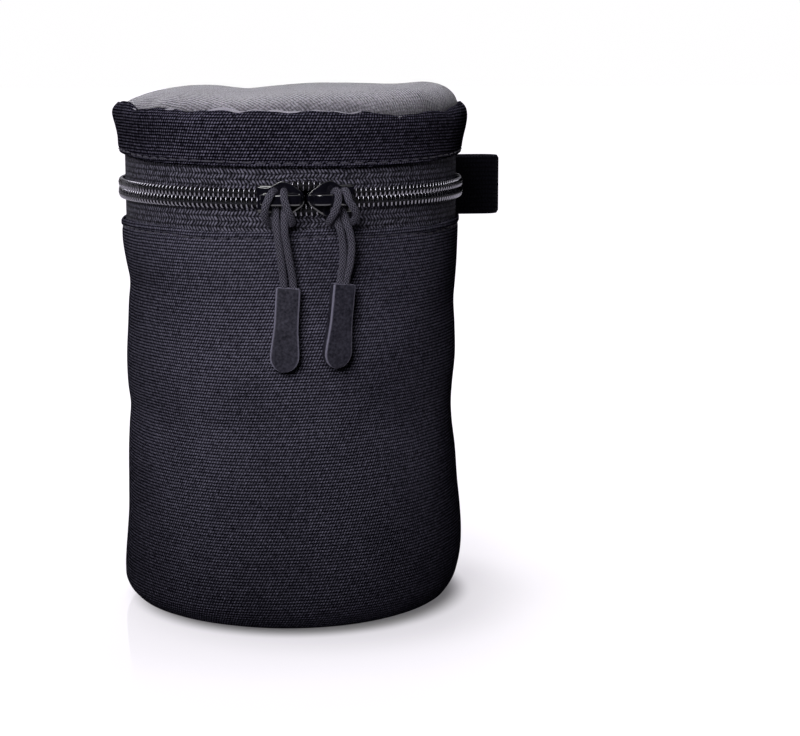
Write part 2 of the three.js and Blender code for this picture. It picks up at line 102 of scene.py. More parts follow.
SLIDER_ANGLE = 7.5514       # each slider's middle, degrees from the front
SLIDER_LENGTH = 13.4 * MM
FACE_INNER = 54.25 * MM
FACE_OUTER = 55.45 * MM
BACK_OUTER = 50.45 * MM
BACK_INNER = 49.45 * MM
CORD_DIAMETER = 2.2 * MM


# Small helpers

def smoothstep(low, high, x):
    """0 below low, 1 above high, and smooth between."""
    t = np.clip((x - low) / (high - low), 0, 1)
    return t * t * (3 - 2 * t)


def bump(x, middle, width):
    """A smooth hump, 1 at its middle."""
    return np.exp(-((x - middle) / width) ** 2)


def round_point(angle, radius, height):
    """Points at angles in degrees from the front, stacked on the last axis."""
    turn = np.radians(angle)
    angle, radius, height = np.broadcast_arrays(turn, radius, height)
    return np.stack([radius * np.sin(angle), -radius * np.cos(angle), height], -1)


def round_angles(columns):
    """Even angles all the way round."""
    return np.linspace(-180, 180, columns, endpoint=False)


def turned(x, y, degrees):
    """Two coordinates after a turn."""
    cosine, sine = math.cos(math.radians(degrees)), math.sin(math.radians(degrees))
    return x * cosine - y * sine, x * sine + y * cosine


def unrolled(angles):
    """How far round angles are on cloth that is laid flat."""
    return np.radians(angles) * UNROLL_RADIUS


def eased(x, knots, values):
    """A smooth curve through knots and values, read at x."""
    knots, values = np.asarray(knots, float), np.asarray(values, float)
    slopes = np.gradient(values, knots)
    i = np.clip(np.searchsorted(knots, x) - 1, 0, len(knots) - 2)
    span = knots[i + 1] - knots[i]
    t = np.clip((x - knots[i]) / span, 0, 1)
    return ((2 * t**3 - 3 * t**2 + 1) * values[i] + (t**3 - 2 * t**2 + t) * span * slopes[i]
            + (3 * t**2 - 2 * t**3) * values[i + 1] + (t**3 - t**2) * span * slopes[i + 1])


def eased_round(angle, knots, values):
    """The same round the pouch: knots are degrees from -180 to 180, and the curve joins up."""
    before, after = np.asarray(knots[-2:]) - 360, np.asarray(knots[:2]) + 360
    wrapped = [*before, *knots, *after]
    heights = [*values[-2:], *values, *values[:2]]
    return eased((np.asarray(angle) + 180) % 360 - 180, wrapped, heights)


def ripples(angle, height, seed, size, count=7, finest=9):
    """Soft waves round and up the pouch, about as deep as size."""
    random = np.random.default_rng(seed)
    total = np.zeros(np.broadcast(angle, height).shape)
    for _ in range(count):
        around = random.integers(1, finest)
        up = random.uniform(-1, 1) * finest * 2.2
        phase = random.uniform(0, TURN)
        total = total + np.cos(around * np.radians(angle) + up * height / (100 * MM) + phase)
    return size * total / math.sqrt(count)


def small_waves(angle, waves):
    """A sum of waves: a size in millimetres, how many go round, and a phase in degrees for each."""
    return sum(size * MM * np.sin(np.radians(angle * count + phase)) for size, count, phase in waves)


def rounded_line(points, per_span):
    """A centripetal Catmull-Rom curve through points."""
    points = np.asarray(points, float)
    padded = np.vstack([2 * points[0] - points[1], points, 2 * points[-1] - points[-2]])
    line = []
    for p0, p1, p2, p3 in zip(padded, padded[1:], padded[2:], padded[3:]):
        d0, d1, d2 = (np.linalg.norm(b - a) ** 0.5 for a, b in ((p0, p1), (p1, p2), (p2, p3)))
        m1 = ((p1 - p0) / d0 - (p2 - p0) / (d0 + d1) + (p2 - p1) / d1) * d1
        m2 = ((p2 - p1) / d1 - (p3 - p1) / (d1 + d2) + (p3 - p2) / d2) * d1
        for t in np.arange(per_span) / per_span:
            line.append(p1 + m1 * t + (3 * (p2 - p1) - 2 * m1 - m2) * t**2
                        + (2 * (p1 - p2) + m1 + m2) * t**3)
    line.append(points[-1])
    return np.array(line)


def distances(line, closed=False):
    """How far along a line each point is. A closed line's whole length comes last."""
    steps = np.diff(line, axis=0, append=line[:1]) if closed else np.diff(line, axis=0)
    return np.concatenate([[0], np.cumsum(np.linalg.norm(steps, axis=1))])


def directions(line):
    """The way that a line goes at each point, as unit vectors."""
    tangent = np.gradient(line, axis=0)
    return tangent / np.linalg.norm(tangent, axis=1)[:, None]


def even_line(line, step):
    """The same line with points a step apart."""
    run = distances(line)
    wanted = np.linspace(0, run[-1], max(2, round(run[-1] / step) + 1))
    return np.stack([np.interp(wanted, run, line[:, k]) for k in range(3)], -1)


def sides_along(line):
    """Two directions square to the line at each point, which turn as little as they can."""
    tangent = directions(line)
    first = np.cross(tangent[0], [0.3, 0.2, 1])
    side = first / np.linalg.norm(first)
    across = []
    for direction in tangent:
        side = side - side.dot(direction) * direction
        side = side / np.linalg.norm(side)
        across.append(side)
    across = np.array(across)
    return across, np.cross(tangent, across)


class Surface:
    """Grids of points, gathered into one mesh with their cloth measured in metres as UVs."""

    def __init__(self):
        self.points, self.faces, self.uvs, self.count = [], [], [], 0

    def grid(self, points, u, v, ends="capped"):
        """points is [rows, columns, 3]. Capped, each row is a closed section and both ends are shut.
        Joined, the last row also meets the first. Open, it is a plain sheet. u and v have one more
        row or column where that closes."""
        rows, columns = points.shape[:2]
        r, c = np.meshgrid(np.arange(rows - (ends != "joined")),
                           np.arange(columns - (ends == "open")), indexing="ij")
        r2, c2 = (r + 1) % rows, (c + 1) % columns
        quads = np.stack([r * columns + c, r * columns + c2, r2 * columns + c2,
                          r2 * columns + c], -1).reshape(-1, 4) + self.count
        u, v = np.broadcast_arrays(u, v)
        uv = np.stack([u, v], -1)
        corners = np.stack([uv[r, c], uv[r, c + 1], uv[r + 1, c + 1], uv[r + 1, c]], 2)
        self.points.append(points.reshape(-1, 3))
        self.faces.extend(quads.tolist())
        self.uvs.append(corners.reshape(-1, 2))
        if ends == "capped":
            ring = np.arange(columns)
            for row in (0, rows - 1):
                self.faces.append((row * columns + ring + self.count).tolist())
                self.uvs.append(uv[row, :columns])
        self.count += rows * columns
        return self

    def ring(self, angles, radius, height):
        """A ring with a closed section: radius and height are [rows, columns], columns round it."""
        radius, height = np.broadcast_arrays(radius, height)
        points = round_point(angles[None], radius, height)
        gaps = np.linalg.norm(np.diff(points, axis=0, append=points[:1]), axis=2)
        run = np.concatenate([height[:1], height[:1] + np.cumsum(gaps, axis=0)])
        run = np.concatenate([run, run[:, :1]], axis=1)
        return self.grid(points, unrolled(np.append(angles, 180))[None], run, "joined")

    def tube(self, line, radius, sides):
        """A tube along a line, closed at both ends."""
        across, up = sides_along(line)
        turn = np.arange(sides) * TURN / sides
        radius = np.broadcast_to(radius, (len(line), sides))[..., None]
        ring = (across[:, None] * np.cos(turn)[None, :, None]
                + up[:, None] * np.sin(turn)[None, :, None])
        run = distances(line)
        around = np.arange(sides + 1) / sides * TURN * float(radius.max())
        return self.grid(line[:, None] + ring * radius, around[None], run[:, None])

    def build(self, name, material):
        """One object of all the grids, with its faces pointing out."""
        mesh = bpy.data.meshes.new(name)
        mesh.from_pydata(np.concatenate(self.points).tolist(), [], self.faces)
        layer = mesh.uv_layers.new(name="UVMap")
        layer.data.foreach_set("uv", np.concatenate(self.uvs).astype(np.float32).ravel())
        work = bmesh.new()
        work.from_mesh(mesh)
        bmesh.ops.recalc_face_normals(work, faces=work.faces)
        work.to_mesh(mesh)
        work.free()
        mesh.shade_smooth()
        mesh.materials.append(material)
        piece = bpy.data.objects.new(name, mesh)
        scene.collection.objects.link(piece)
        return piece

    def piece(self, name, material, body, slot, *nodes):
        """The object rides on a body, takes the material, and stands for the nodes. The slot is not
        used.
        """
        piece = self.build(name, material)
        if nodes:
            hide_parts(*nodes)
        if body:
            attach(piece, body)
        return piece


# Materials

def add_node(tree, kind, inputs, **settings):
    """A shader node. Its inputs are fields, sockets or plain values."""
    node = tree.nodes.new("ShaderNode" + kind)
    for name, value in settings.items():
        setattr(node, name, value)
    for slot, value in inputs.items():
        if isinstance(value, Field):
            value = value.socket
        if isinstance(value, bpy.types.NodeSocket):
            tree.links.new(value, node.inputs[slot])
        else:
            node.inputs[slot].default_value = value
    return node


def tone(red, green, blue):
    """A colour from its screen values, 0 to 255."""
    def plain(value):
        """A screen value as an amount of light."""
        share = value / 255
        return share / 12.92 if share <= 0.04045 else ((share + 0.055) / 1.055) ** 2.4
    return (plain(red), plain(green), plain(blue), 1)


class Field:
    """A number that varies over a surface. Arithmetic on it adds Math nodes to its material."""

    def __init__(self, tree, socket):
        self.tree, self.socket = tree, socket

    def math(self, kind, *others, limit=False):
        """The field that a Math node makes of this one and the others."""
        node = add_node(self.tree, "Math", dict(enumerate((self, *others))),
                        operation=kind, use_clamp=limit)
        return Field(self.tree, node.outputs[0])

    def __add__(self, other):
        return self.math("ADD", other)

    def __sub__(self, other):
        return self.math("SUBTRACT", other)

    def __mul__(self, other):
        return self.math("MULTIPLY", other)

    def __truediv__(self, other):
        return self.math("DIVIDE", other)

    def fraction(self):
        return self.math("FRACT")

    def floor(self):
        return self.math("FLOOR")

    def hill(self):
        """0 at each whole number and 1 halfway between."""
        return (self.fraction() * math.pi).math("SINE", limit=True)

    def power(self, exponent):
        return self.math("POWER", exponent)

    def fold(self, period):
        """Goes up from 0 to the period and down again."""
        return self.math("PINGPONG", period)

    def highest(self, other):
        return self.math("MAXIMUM", other)

    def lowest(self, other):
        return self.math("MINIMUM", other)


class Finish:
    """A node material that is put together from fields."""

    def __init__(self, name, **settings):
        self.material = bpy.data.materials.new(name)
        self.material.use_nodes = True
        self.tree = self.material.node_tree
        self.shader = self.tree.nodes["Principled BSDF"]
        for socket, value in settings.items():
            self.shader.inputs[socket.replace("_", " ")].default_value = value

    def place(self):
        """Where a point is on its own piece, in metres."""
        return add_node(self.tree, "TexCoord", {}).outputs["Object"]

    def cloth_place(self):
        """Across and along the cloth, in millimetres."""
        cloth = add_node(self.tree, "UVMap", {}).outputs[0]
        split = add_node(self.tree, "SeparateXYZ", {0: cloth})
        return tuple(Field(self.tree, split.outputs[i]) * 1000 for i in (0, 1))

    def noise(self, size, detail=3):
        """Noise from 0 to 1 with features of about that many millimetres."""
        texture = add_node(self.tree, "TexNoise",
                           {"Vector": self.place(), "Scale": 1000 / size, "Detail": detail})
        return Field(self.tree, texture.outputs[0])

    def around(self, middle, reach, near_level, far_level):
        """A level that eases from near to far with the distance from a point."""
        away = add_node(self.tree, "VectorMath", {0: self.place(), 1: middle}, operation="DISTANCE")
        levels = {"From Min": reach[0], "From Max": reach[1],
                  "To Min": near_level, "To Max": far_level}
        ramp = add_node(self.tree, "MapRange", {"Value": away.outputs["Value"], **levels},
                        interpolation_type="SMOOTHSTEP")
        return Field(self.tree, ramp.outputs[0])

    def colour(self, share, low, high):
        """A colour that goes from low to high with the share."""
        node = add_node(self.tree, "Mix", {0: share, 6: low, 7: high}, data_type="RGBA")
        self.tree.links.new(node.outputs[2], self.shader.inputs["Base Color"])

    def complete(self, share, low, high, relief, depth, roughness):
        """Gives the colour, a relief so many millimetres deep and the roughness."""
        self.colour(share, low, high)
        bumps = add_node(self.tree, "Bump", {"Height": relief, "Distance": depth * MM})
        self.tree.links.new(bumps.outputs[0], self.shader.inputs["Normal"])
        self.tree.links.new(roughness.socket, self.shader.inputs["Roughness"])
        return self.material


# Sizes of the finishes, in millimetres where no unit is written

RIB_PITCH = 0.95
DASH_PITCH = 0.88
LOW_PAINTED_SHADE_HEIGHT = 60      # painted shade: the side's cloth is made darker below this
LOW_PAINTED_SHADE = 0.38
TWILL_PITCH = 0.95
SEAM_PAINTED_SHADE_PLACES = (48, 56)     # painted shade: from the middle of the top out to its seam
SEAM_PAINTED_SHADE = 0.65
TAPE_STROKE = 1.1
TAPE_ROW = 1.6
TAB_EDGE_PLACES = (9.9, 16.9)    # the front edges, measured round a tab
TAB_HIGHLIGHT_WIDTH = 0.55
WEBBING_RIB = 1.5
WEBBING_YARN = 1.05
PLY_PITCH = 0.35
BRAID_STRANDS = 8           # each way round a cord
BRAID_PITCH = 1.15 * MM     # between strands, along the cord


def ribbed_cloth(name, contrast, high):
    """Rows of short slanted threads, one above the other."""
    finish = Finish(name, Specular_IOR_Level=0.0)
    across, along = finish.cloth_place()
    drift = finish.noise(14, 2)
    rows = along / RIB_PITCH + drift * 0.5
    rise = rows.fraction()
    step = rows.floor() * 0.5
    thread = finish.noise(0.9, 3)
    dash = (across / DASH_PITCH - rise * 0.5 + step + drift * 1.2 + thread * 0.3).hill()
    height = rows.hill().power(0.9) * (dash.power(1.1) * 0.85 + 0.15)
    patch = finish.noise(22, 3)
    # Painted shade: the side's cloth darkens towards its bottom, where less light falls
    shade = (along / LOW_PAINTED_SHADE_HEIGHT).lowest(1) * LOW_PAINTED_SHADE + (1 - LOW_PAINTED_SHADE)
    light = height * (patch * 0.6 + 0.7) * (thread * 2.2 - 0.1) * shade
    return finish.complete(light.power(contrast), tone(3, 3, 9), high,
                           height * (thread * 0.5 + 0.75), 0.32, thread * 0.2 + 0.75)


def twill_cloth():
    """Fine diagonal twill for the padded top."""
    finish = Finish("twill_cloth", Sheen_Weight=0.65, Sheen_Roughness=0.4,
                    Specular_IOR_Level=0.5, Sheen_Tint=(0.95, 0.93, 1, 1))
    across, along = finish.cloth_place()
    drift = finish.noise(9, 2)
    thread = finish.noise(0.8, 3)
    line = (across * 0.82 + along * 0.57) / TWILL_PITCH + drift * 0.9 + thread * 0.9
    cell = (across * 0.57 - along * 0.82) / (TWILL_PITCH * 1.3) + drift * 0.5
    height = line.hill() * (cell.hill() * 0.35 + 0.65)
    patch = finish.noise(14, 3)
    # Painted shade: the top gets darker towards its seam, where the padding rolls down out of the
    # light
    reach = (across * across + along * along).power(0.5)
    seam = (reach - SEAM_PAINTED_SHADE_PLACES[0]).math(
        "MULTIPLY", 1 / (SEAM_PAINTED_SHADE_PLACES[1] - SEAM_PAINTED_SHADE_PLACES[0]), limit=True)
    light = height * (patch * 0.5 + 0.8) * (thread * 2.6 - 0.3) * (seam * -SEAM_PAINTED_SHADE + 1)
    # Painted light, in part: the top's high tone is far lighter than the side's dark cloth, for the
    # light that the top catches
    return finish.complete(light.power(1.2), tone(16, 14, 22), tone(161, 156, 171),
                           height * (thread * 0.8 + 0.6), 0.3, thread * 0.2 + 0.55)


def tape_cloth():
    """Herringbone zip tape."""
    finish = Finish("tape_cloth", Specular_IOR_Level=0.08)
    across, along = finish.cloth_place()
    drift = finish.noise(7, 2)
    zigzag = (along / TAPE_ROW).fold(1.0)
    thread = finish.noise(0.9, 3)
    line = across / TAPE_STROKE + zigzag * 0.9 + drift * 1.2 + thread * 0.7
    height = line.hill() * ((along / TAPE_ROW).hill().power(0.6) * 0.7 + 0.3)
    light = height * (thread * 2.6 - 0.3)
    return finish.complete(light.power(2.3), tone(2, 2, 7), tone(113, 110, 127),
                           height * (thread * 0.6 + 0.7), 0.3, thread * 0.2 + 0.65)


def lining_cloth():
    """Brushed lining with a short nap."""
    finish = Finish("lining_cloth", Sheen_Weight=0.5, Sheen_Roughness=0.6, Specular_IOR_Level=0.1)
    nap = finish.noise(0.35, 4)
    patch = finish.noise(12, 3)
    height = nap * 0.75 + patch * 0.25
    return finish.complete(height, tone(26, 26, 30), tone(66, 66, 72),
                           height, 0.3, nap * 0.1 + 0.88)


def webbing_cloth():
    """Heavy webbing: chevron ribs along its length."""
    finish = Finish("webbing_cloth", Specular_IOR_Level=0.03)
    across, along = finish.cloth_place()
    rib = (along / WEBBING_RIB).hill().power(0.6)
    lean = (along / WEBBING_RIB).fold(1.0)
    yarn = (across / WEBBING_YARN + lean * 0.6).hill().power(0.7)
    thread = finish.noise(0.5, 2)
    height = rib * (yarn * 0.6 + 0.4) * (thread * 0.6 + 0.7)
    return finish.complete(height, tone(2, 2, 5), tone(26, 25, 34),
                           height, 0.35, thread * 0.2 + 0.6)


def braid_cloth():
    """The cords' strands: fine filaments over the modelled braid."""
    finish = Finish("braid_cloth", Specular_IOR_Level=0.1)
    across, along = finish.cloth_place()
    around = across * (BRAID_STRANDS * MM / (TURN * CORD_DIAMETER / 2))
    climb = along * (MM / BRAID_PITCH)
    first, second = around + climb, around - climb
    odd = ((first + 0.5).floor() + (second + 0.5).floor()) * 0.5
    other_on_top = odd.fraction()
    one = (first + 0.5).hill() * (other_on_top * -1.2 + 1)
    other = (second + 0.5).hill() * (other_on_top * 1.2 + 0.4)
    thread = finish.noise(0.5, 3)
    height = one.highest(other).power(3.0)
    light = height * (thread * 1.2 + 0.4)
    return finish.complete(light, tone(3, 3, 9), tone(116, 113, 129),
                           height * 0.7 + thread * 0.3, 0.12, thread * 0.2 + 0.65)


def thread_yarn(name, low, high):
    """Twisted yarn, from a low to a high tone."""
    finish = Finish(name, Specular_IOR_Level=0.2)
    across, along = finish.cloth_place()
    ply = ((along + across) / PLY_PITCH).hill()
    fuzz = finish.noise(0.3, 3)
    return finish.complete(ply * (fuzz * 0.6 + 0.7), low, high,
                           ply, 0.06, fuzz * 0.2 + 0.45)


def foam_filling():
    """Closed-cell padding."""
    finish = Finish("foam_filling", Specular_IOR_Level=0.1)
    cells = finish.noise(0.8, 4)
    return finish.complete(cells, tone(44, 44, 48), tone(84, 84, 88),
                           cells, 0.25, cells * 0.1 + 0.88)


def coil_nylon():
    """Glossy black monofilament."""
    finish = Finish("coil_nylon", IOR=1.9, Specular_IOR_Level=1.0, Specular_Tint=(0.9, 0.87, 1, 1))
    haze = finish.noise(1.2, 3)
    return finish.complete(haze, tone(2, 2, 5), tone(13, 12, 18),
                           finish.noise(0.4, 2), 0.01, haze * 0.1 + 0.13)


def slider_paint():
    """Baked black paint on cast metal."""
    finish = Finish("slider_paint", Specular_IOR_Level=0.7, Coat_Weight=0.5, Coat_Roughness=0.03)
    haze = finish.noise(2.5, 4)
    grain = finish.noise(0.3, 3)
    return finish.complete(haze, tone(5, 5, 10), tone(22, 21, 30),
                           grain, 0.006, haze * 0.08 + 0.04)


def tab_rubber():
    """Matt moulded rubber with a fine tooth, and a painted highlight along its front edges and top.
    """
    finish = Finish("tab_rubber", Specular_IOR_Level=0.12)
    around, down = finish.cloth_place()
    grain = finish.noise(0.3, 3)
    speck = finish.noise(0.8, 4)
    patch = finish.noise(5, 3)
    # Painted highlight: the front edges and the top are made lighter, as where the rounded edges
    # catch the light
    sides = (around - TAB_EDGE_PLACES[0]).math("ABSOLUTE").lowest(
        (around - TAB_EDGE_PLACES[1]).math("ABSOLUTE"))
    edge = (sides.lowest(down * 2.5) * (-1 / TAB_HIGHLIGHT_WIDTH) + 1).math("MAXIMUM", 0)
    painted_highlight = (edge * (grain * 1.4 + 0.4)).lowest(1)
    face = speck * 0.42 + patch * 0.2 - 0.2
    return finish.complete(face * (painted_highlight * -1 + 1) + painted_highlight, tone(13, 12, 23), tone(126, 123, 142),
                           grain, 0.05, patch * 0.15 + 0.5)


RIBBED = ribbed_cloth("body_ribbed", 1.4, tone(117, 114, 134))
# Painted shade: the band's cloth is a darker, more contrasted copy of the side's, for the band
# catching less light
SHADED_BAND_CLOTH = ribbed_cloth("band_cloth_painted_shade", 2.5, tone(110, 106, 127))
TWILL = twill_cloth()
TAPE = tape_cloth()
LINING = lining_cloth()
WEBBING = webbing_cloth()
BRAID = braid_cloth()
THREAD = thread_yarn("sewing_thread", tone(22, 21, 31), tone(86, 83, 96))
# Painted highlight: the cut edge's yarn is made very light, for the crest's top edge lit from above
CUT_EDGE_HIGHLIGHT = thread_yarn("cut_edge_painted_highlight", tone(40, 38, 48), tone(205, 200, 216))
# Partly painted shade: the coil's core cord is real, and its near-black strip also fills the gaps
# between the loops with shade
CORE = thread_yarn("core_yarn", tone(1, 1, 2), tone(9, 9, 13))
COVER = thread_yarn("cover_yarn", tone(2, 2, 5), tone(26, 25, 33))
FOAM = foam_filling()
NYLON = coil_nylon()
PAINT = slider_paint()
RUBBER = tab_rubber()


# Cords
# Each point is [along the zip, out from the axis, up] in millimetres, in the slider's own frame.
# A cord leaves the tab, goes up behind the bar, over it and down in front, crosses behind its
# own two legs, and comes back over the bar the same way.

LEFT_CORD = [
    [0.6, 54.55, 103.6], [0.5, 54.9, 107.0], [0.0, 56.3, 112.0], [-0.6, 57.5, 117.5],
    [-1.0, 58.1, 121.3], [-1.3, 58.1, 123.2], [-1.4, 57.6, 125.0], [-1.4, 57.0, 126.6],
    [-1.4, 56.7, 128.3], [-1.4, 56.65, 130.3], [-1.5, 57.4, 132.1], [-1.8, 59.2, 132.85],
    [-2.5, 61.0, 132.1], [-3.4, 61.75, 130.3], [-4.1, 61.6, 128.2], [-4.3, 60.6, 126.3],
    [-4.1, 58.9, 124.7], [-3.4, 57.0, 123.7], [-1.9, 55.7, 123.2], [-0.1, 55.5, 123.1],
    [1.7, 55.7, 123.2], [3.3, 57.0, 123.7], [3.3, 58.9, 124.7], [2.7, 60.6, 126.3],
    [2.1, 61.6, 128.2], [1.5, 61.75, 130.3], [1.2, 61.0, 132.1], [1.1, 59.2, 132.85],
    [1.1, 57.4, 132.1], [1.1, 56.65, 130.3], [1.1, 56.7, 128.3], [1.1, 57.0, 126.6],
    [1.1, 57.6, 125.0], [1.1, 58.1, 123.2], [1.2, 58.1, 121.3], [1.7, 57.5, 117.5],
    [2.5, 56.3, 112.0], [3.2, 54.9, 107.0], [3.4, 54.55, 103.6],
]
RIGHT_CORD = [
    [2.4, 55.1, 104.6], [2.6, 55.4, 107.4], [3.1, 56.4, 112.0], [2.8, 57.5, 117.5],
    [2.0, 58.1, 121.3], [1.3, 58.1, 123.2], [0.9, 57.6, 125.0], [0.5, 57.0, 126.6],
    [0.3, 56.7, 128.3], [0.3, 56.65, 130.3], [0.4, 57.4, 132.1], [0.6, 59.2, 132.85],
    [0.7, 61.0, 132.1], [0.5, 61.75, 130.3], [0.0, 61.6, 128.2], [-0.6, 60.6, 126.3],
    [-1.1, 58.9, 124.7], [-0.9, 57.0, 123.7], [0.7, 55.7, 123.2], [2.5, 55.5, 123.1],
    [4.3, 55.7, 123.2], [5.8, 57.0, 123.7], [6.3, 58.9, 124.7], [6.1, 60.6, 126.3],
    [5.0, 61.6, 128.2], [3.65, 61.75, 130.3], [3.3, 61.0, 132.1], [3.1, 59.2, 132.85],
    [2.9, 57.4, 132.1], [2.8, 56.65, 130.3], [2.8, 56.7, 128.3], [3.0, 57.0, 126.6],
    [3.4, 57.6, 125.0], [3.8, 58.1, 123.2], [4.6, 58.1, 121.3], [5.4, 57.5, 117.5],
    [5.2, 56.8, 112.0], [4.4, 55.4, 107.4], [4.2, 54.9, 104.6],
]
CORD_SIDES = 48
CORD_STEP = 0.14 * MM
BRAID_DEPTH_SHARE = 0.17    # of the radius


def in_slider_frame(points, angle):
    """Points [along, out, up] in millimetres, turned to a slider's place on the zip."""
    along, out, up = (np.asarray(points, float) * MM).T
    return np.stack([*turned(along, -out, angle), up], -1)


def braided(run, turn):
    """How far a braid's strands stand out, from 0 to 1, where two families cross."""
    around, climb = BRAID_STRANDS * turn / 2, math.pi * run / BRAID_PITCH
    first, second = around + climb, around - climb
    one, other = np.cos(first) ** 2, np.cos(second) ** 2
    over = (np.round(first / math.pi) + np.round(second / math.pi)) % 2 == 0
    return np.where(over, np.maximum(one, other * 0.5), np.maximum(other, one * 0.5))


def add_cord(side, route, angle):
    """A braided cord, with the line of its tube's rings and a coarser path along it."""
    line = even_line(rounded_line(in_slider_frame(route, angle), 12), CORD_STEP)
    run = np.arange(len(line))[:, None] * CORD_STEP
    turn = np.arange(CORD_SIDES)[None] * TURN / CORD_SIDES
    radius = CORD_DIAMETER / 2 * (1 - BRAID_DEPTH_SHARE + BRAID_DEPTH_SHARE * braided(run, turn))
    cord = Surface().tube(line, radius, CORD_SIDES).piece(
        f"{side}_cord", BRAID, f"{side}_pull", "cord", f"{side}_pull_cord")
    return cord, line, rounded_line(in_slider_frame(route, angle), 3)


cords = [add_cord("left", LEFT_CORD, -SLIDER_ANGLE), add_cord("right", RIGHT_CORD, SLIDER_ANGLE)]


# Tabs

TAB_LENGTH = 24.8 * MM
TAB_TOP_WIDTH = 7.2 * MM
TAB_END_WIDTH = 8.7 * MM
TAB_THICKNESS = 2.7 * MM
TAB_CORNER = 0.5 * MM
TAB_SOFT_SHARE = 0.03       # how far down the tab its top edges are rounded
TAB_END_START_SHARE = 0.8   # where the round end begins, down the tab
LEFT_TAB = {"along": 1.9, "out": 54.6, "up": 104.7, "lean": -3.6, "yaw": 0}
RIGHT_TAB = {"along": 3.5, "out": 55.1, "up": 105.6, "lean": -5.8, "yaw": 12}


def rounded_oblong(half, deep, corner):
    """A rounded oblong, [across, out] points, with three more along each flat side."""
    corners = []
    for middle_across, middle_out, start in ((1, 1, 0), (-1, 1, 90), (-1, -1, 180), (1, -1, 270)):
        turn = np.radians(start + np.linspace(0, 90, 5))
        corners.append(np.stack([middle_across * (half - corner) + corner * np.cos(turn),
                                 middle_out * (deep - corner) + corner * np.sin(turn)], -1))
    points = []
    for arc, following in zip(corners, corners[1:] + corners[:1]):
        side = following[0] - arc[-1]
        points.extend([*arc, *(arc[-1] + side * share for share in (0.1, 0.5, 0.9))])
    return np.array(points)


def add_tab(side, place, angle):
    """A rubber tab with soft edges, wider at its round end, leaned and turned as it hangs."""
    shares = [*np.linspace(0, TAB_SOFT_SHARE, 4), *np.linspace(0.06, TAB_END_START_SHARE, 14),
              *(1 - (1 - TAB_END_START_SHARE) * np.cos(np.linspace(0.12, math.pi / 2, 14)))]
    sections = []
    for share in shares:
        flare = float(smoothstep(0.4, 0.86, share))
        half = (TAB_TOP_WIDTH + (TAB_END_WIDTH - TAB_TOP_WIDTH) * flare) / 2
        down = max(0, (share - TAB_END_START_SHARE) / (1 - TAB_END_START_SHARE))
        half = half * max(0.1, math.sqrt(max(0, 1 - down**2.15)))
        soften = min(1, share / TAB_SOFT_SHARE)
        lip = TAB_CORNER * (1 - math.sqrt(1 - (1 - soften) ** 2))
        half -= lip
        deep = TAB_THICKNESS / 2 * (1 - 0.3 * down**2) - lip
        sections.append([[across, out, -share * TAB_LENGTH]
                         for across, out in rounded_oblong(half, deep, min(TAB_CORNER, deep * 0.9))])
    local = np.array(sections)
    x, y = turned(local[..., 0], local[..., 1], place["yaw"])
    x, z = turned(x, local[..., 2], place["lean"])
    shifted = np.stack([x / MM + place["along"], place["out"] - y / MM, z / MM + place["up"]], -1)
    points = in_slider_frame(shifted.reshape(-1, 3), angle).reshape(local.shape)
    section = rounded_oblong(TAB_TOP_WIDTH / 2, TAB_THICKNESS / 2, TAB_CORNER)
    around = distances(section, closed=True)
    down = np.array(shares)[:, None] * TAB_LENGTH
    return Surface().grid(points, around[None], down).piece(
        f"{side}_tab", RUBBER, f"{side}_pull", "tab_rubber", f"{side}_pull_tab")


tabs = [add_tab("left", LEFT_TAB, -SLIDER_ANGLE), add_tab("right", RIGHT_TAB, SLIDER_ANGLE)]


# Body cloth
# The outline is read at the two sides: [height, left radius, right radius] in millimetres.

SIDE_OUTLINE = [
    [0.3, 46.5, 46.5], [1.2, 49.6, 48.3], [3.0, 52.0, 49.9], [6.0, 53.8, 51.6], [9.5, 54.1, 52.6],
    [14, 54.0, 53.4], [20, 53.6, 53.7], [27, 53.1, 53.4], [36, 52.8, 52.6], [47, 52.3, 51.9],
    [56, 51.6, 50.8], [62, 51.1, 50.4], [68, 51.8, 50.6], [77, 52.3, 51.3], [87, 52.1, 51.2],
    [95, 51.8, 51.0], [101, 51.3, 51.6], [107, 52.2, 52.1], [114, 52.9, 52.3], [121, 52.8, 52.4],
]
SIDE_WAVE = 0.3 * MM
HEM_STEP = 0.3 * MM         # how far the doubled edge stands out
HEM_STITCH_DEPTH = 0.42 * MM
MOUTH_WAVES = ((0.4, 5, 40), (0.2, 13, 0))
MOUTH_WAVE_REACH = 14 * MM  # how far below the edge its waves start
MOUTH_FOLD = 0.6 * MM       # radius of the folded edge
INNER_FACE_HEIGHTS = [119.6, 117, 113, 108, 90, 60, 30, 16, 8, 4, 1.6]
TAPE_FACE_HEIGHT = 112 * MM  # above this the cloth keeps clear of the tape
TAPE_CLEARANCE = 0.05 * MM
BASE_EDGE = (45.8 * MM, 1.2 * MM)    # where the cloth ends under the base: radius and height
STITCH_DROP = 2.3 * MM      # from the folded edge down to its stitching
BODY_COLUMNS = 240
STITCH_PITCH = 4.1 * MM
STITCH_LENGTH = 3.1 * MM
STITCH_RADIUS = 0.32 * MM
STITCH_STAND = 0.34 * MM
STITCH_SUNK = 0.26 * MM
STITCH_SHIFT = 0.12 * MM    # how far a stitch can be off its row
STITCH_POINTS = 6


def left_share(angle):
    """1 at the left side as the camera sees it, and 0 at the right side."""
    return (1 - np.sin(np.radians(angle - FACING))) / 2


def outline_radius(outline, angle, height):
    """An outline's radius between the two sides at which it is read."""
    heights, left, right = (np.array(column) * MM for column in zip(*outline))
    share = left_share(angle)
    return eased(height, heights, left) * share + eased(height, heights, right) * (1 - share)


